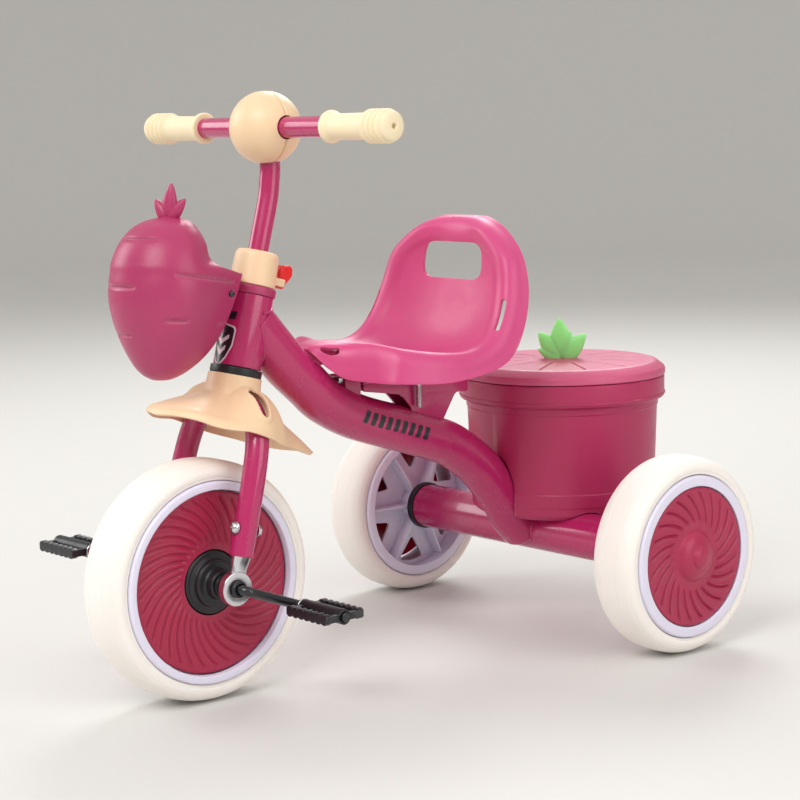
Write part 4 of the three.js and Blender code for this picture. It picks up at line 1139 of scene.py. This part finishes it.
def handlebar():
    at = (0, BAR["y"], BAR["z"])
    stem = [on_steering_axis(a) for a in (236, 300, 345, 385)] + [
        (0, -362.6, 505), (0, -361.0, 524), (0, BAR["y"] + 0.4, BAR["z"] - 12)]
    piece("Handlebar_stem", sweep(spline(stem, 3), 10.3, 48), TRIKE, "frame_paint", "handlebar")
    bar = rod(BAR["radius"], 9 - BAR["half"], BAR["half"] - 9, "x", 0.8, 48)
    piece("Crossbar", bar.at(*at), TRIKE, "frame_paint", "handlebar", "handlebar_crossbar")
    ball, wall = BAR["ball"], BAR["ball"] - 2.6
    half_ball = quarter(ball, 40)[:-1] + [(ball - 0.1, 1.4), (ball - 0.9, 0.3), (wall, 0.3)]
    half_ball += reversed(quarter(wall, 20)[:-1])
    holes = [rod(BAR["radius"] + 1.3, -60, 60, "x", 0, 64),
             rod(BAR["radius"] + 2.2, -60, 0, "z", 0, 64).turned(4, "X")]
    for name, way in (("front", -1), ("rear", 1)):
        shell = lathe([(r, way * h) for r, h in half_ball], 96, "y")
        piece(f"Ball_{name}", shell.at(*at), TRIKE, "cream_plastic", "handlebar", f"ball_shell_{name}",
              cuts=[h.at(*at) for h in holes])
    end = BAR["half"]
    grip = rounded([(10.8, 101), (15, 101), (15.9, 102.4), (15.9, 105.4), (14.6, 107), (12.9, 109.5),
                    (12.5, 116), (12.7, 135), (12.9, 156), (14.2, 159.5)], 1.2, 4)
    for k in range(4):
        a = 161 + 7.2 * k
        grip += [(14.4, a), (15.6, a + 0.7), (16.3, a + 2.2), (16.3, a + 4.0), (15.6, a + 5.5),
                 (14.4, a + 6.2)]
    grip += [(14.6, 190.2), (14.2, 192.2), (12.6, 193.9), (9, end - 0.2), (4.5, end), (3.0, end),
             (2.6, end - 0.4), (2.6, end - 5), (0, end - 5)]
    for side, s in SIDES:
        whole = lathe([(10.8, 101)] + grip[1:], 72, "x")
        whole.faces.append(tuple(range(72)))
        piece(f"Grip_{side}", whole.on_side(s).at(*at), TRIKE, "grip_rubber", "handlebar", sharp=50)


# ---------- pieces that stay as the frame has them ----------
def inner_pieces():
    for name, paint in (("steerer_tube", "frame_paint"), ("rear_axle_rod", "plated_steel"),
                         ("rear_axle_nut_left", "plated_steel"), ("rear_axle_nut_right", "plated_steel"),
                         ("bin_screw_left", "plated_steel"), ("bin_screw_right", "plated_steel")):
        mesh = frame["nodes"][name].data
        mesh.materials.clear()
        mesh.materials.append(FINISHES[paint])


# ---------- floor, light and camera ----------
def stage():
    material = bpy.data.materials.new("Pale_floor")
    material.use_nodes = True
    nodes, links = material.node_tree.nodes, material.node_tree.links
    shader = nodes["Principled BSDF"]
    noise_node = nodes.new("ShaderNodeTexNoise")
    noise_node.inputs["Scale"].default_value = 3.0
    ramp = nodes.new("ShaderNodeValToRGB")
    ramp.color_ramp.elements[0].color = (0.66, 0.65, 0.63, 1)
    ramp.color_ramp.elements[1].color = (0.70, 0.69, 0.67, 1)
    links.new(noise_node.outputs["Fac"], ramp.inputs["Fac"])
    links.new(ramp.outputs["Color"], shader.inputs["Base Color"])
    shader.inputs["Roughness"].default_value = 0.7
    reach, bend, height = 6000, 2500, 6000
    curve = [(reach + out, bend - up) for out, up in quarter(bend, 16)]
    floor = mesh_object("Floor", lathe([(0, 0), *curve, (reach + bend, height)], 96), closed=False)
    floor.data.transform(Matrix.Translation((0, 0, -0.0006)) @ MM)
    floor.data.materials.append(material)
    floor.data.shade_smooth()

    world = bpy.data.worlds.new("Studio")
    bpy.context.scene.world = world
    world.use_nodes = True
    background = world.node_tree.nodes["Background"]
    background.inputs["Color"].default_value = (1.0, 0.985, 0.96, 1)
    background.inputs["Strength"].default_value = 0.75
    aim = Vector((0, 0, 0.28))
    for name, place, size, power in (
            ("Key", (0.9, -2.2, 2.3), 1.6, 48), ("Fill", (2.6, 0.4, 1.2), 1.8, 20),
            ("Back", (-1.6, 2.0, 2.2), 1.4, 40), ("Left", (-2.2, -1.4, 1.4), 1.4, 24)):
        light = bpy.data.lights.new(name, "AREA")
        light.size, light.energy = size, power
        lamp = bpy.data.objects.new(name, light)
        lamp.location = place
        lamp.rotation_euler = (aim - Vector(place)).to_track_quat("-Z", "Y").to_euler()
        bpy.context.scene.collection.objects.link(lamp)


def camera():
    azimuth, elevation, roll = (math.radians(a) for a in (48.97, 7.91, -1.14))
    ahead = Vector((-math.sin(azimuth) * math.cos(elevation), math.cos(azimuth) * math.cos(elevation),
                    -math.sin(elevation)))
    level = Vector((math.cos(azimuth), math.sin(azimuth), 0))
    upright = level.cross(ahead)
    right = level * math.cos(roll) + upright * math.sin(roll)
    up = upright * math.cos(roll) - level * math.sin(roll)
    data = bpy.data.cameras.new("Camera")
    data.lens, data.sensor_width = 92.96, 36.0
    obj = bpy.data.objects.new("Camera", data)
    obj.matrix_world = Matrix(((right.x, up.x, -ahead.x, 1.64432), (right.y, up.y, -ahead.y, -1.41732),
                               (right.z, up.z, -ahead.z, 0.57256), (0, 0, 0, 1)))
    bpy.context.scene.collection.objects.link(obj)
    bpy.context.scene.camera = obj


# ---------- assembly ----------
camera()
stage()
for build in (frame_tubes, head_bushes, axle_caps, decorations, seat, seat_mounts, basket, bin_and_lid,
              front_wheel, rear_wheels, crank_and_pedals, fork, fender, sleeve_and_lever, handlebar,
              inner_pieces):
    build()
bpy.context.scene.view_settings.view_transform = "Standard"
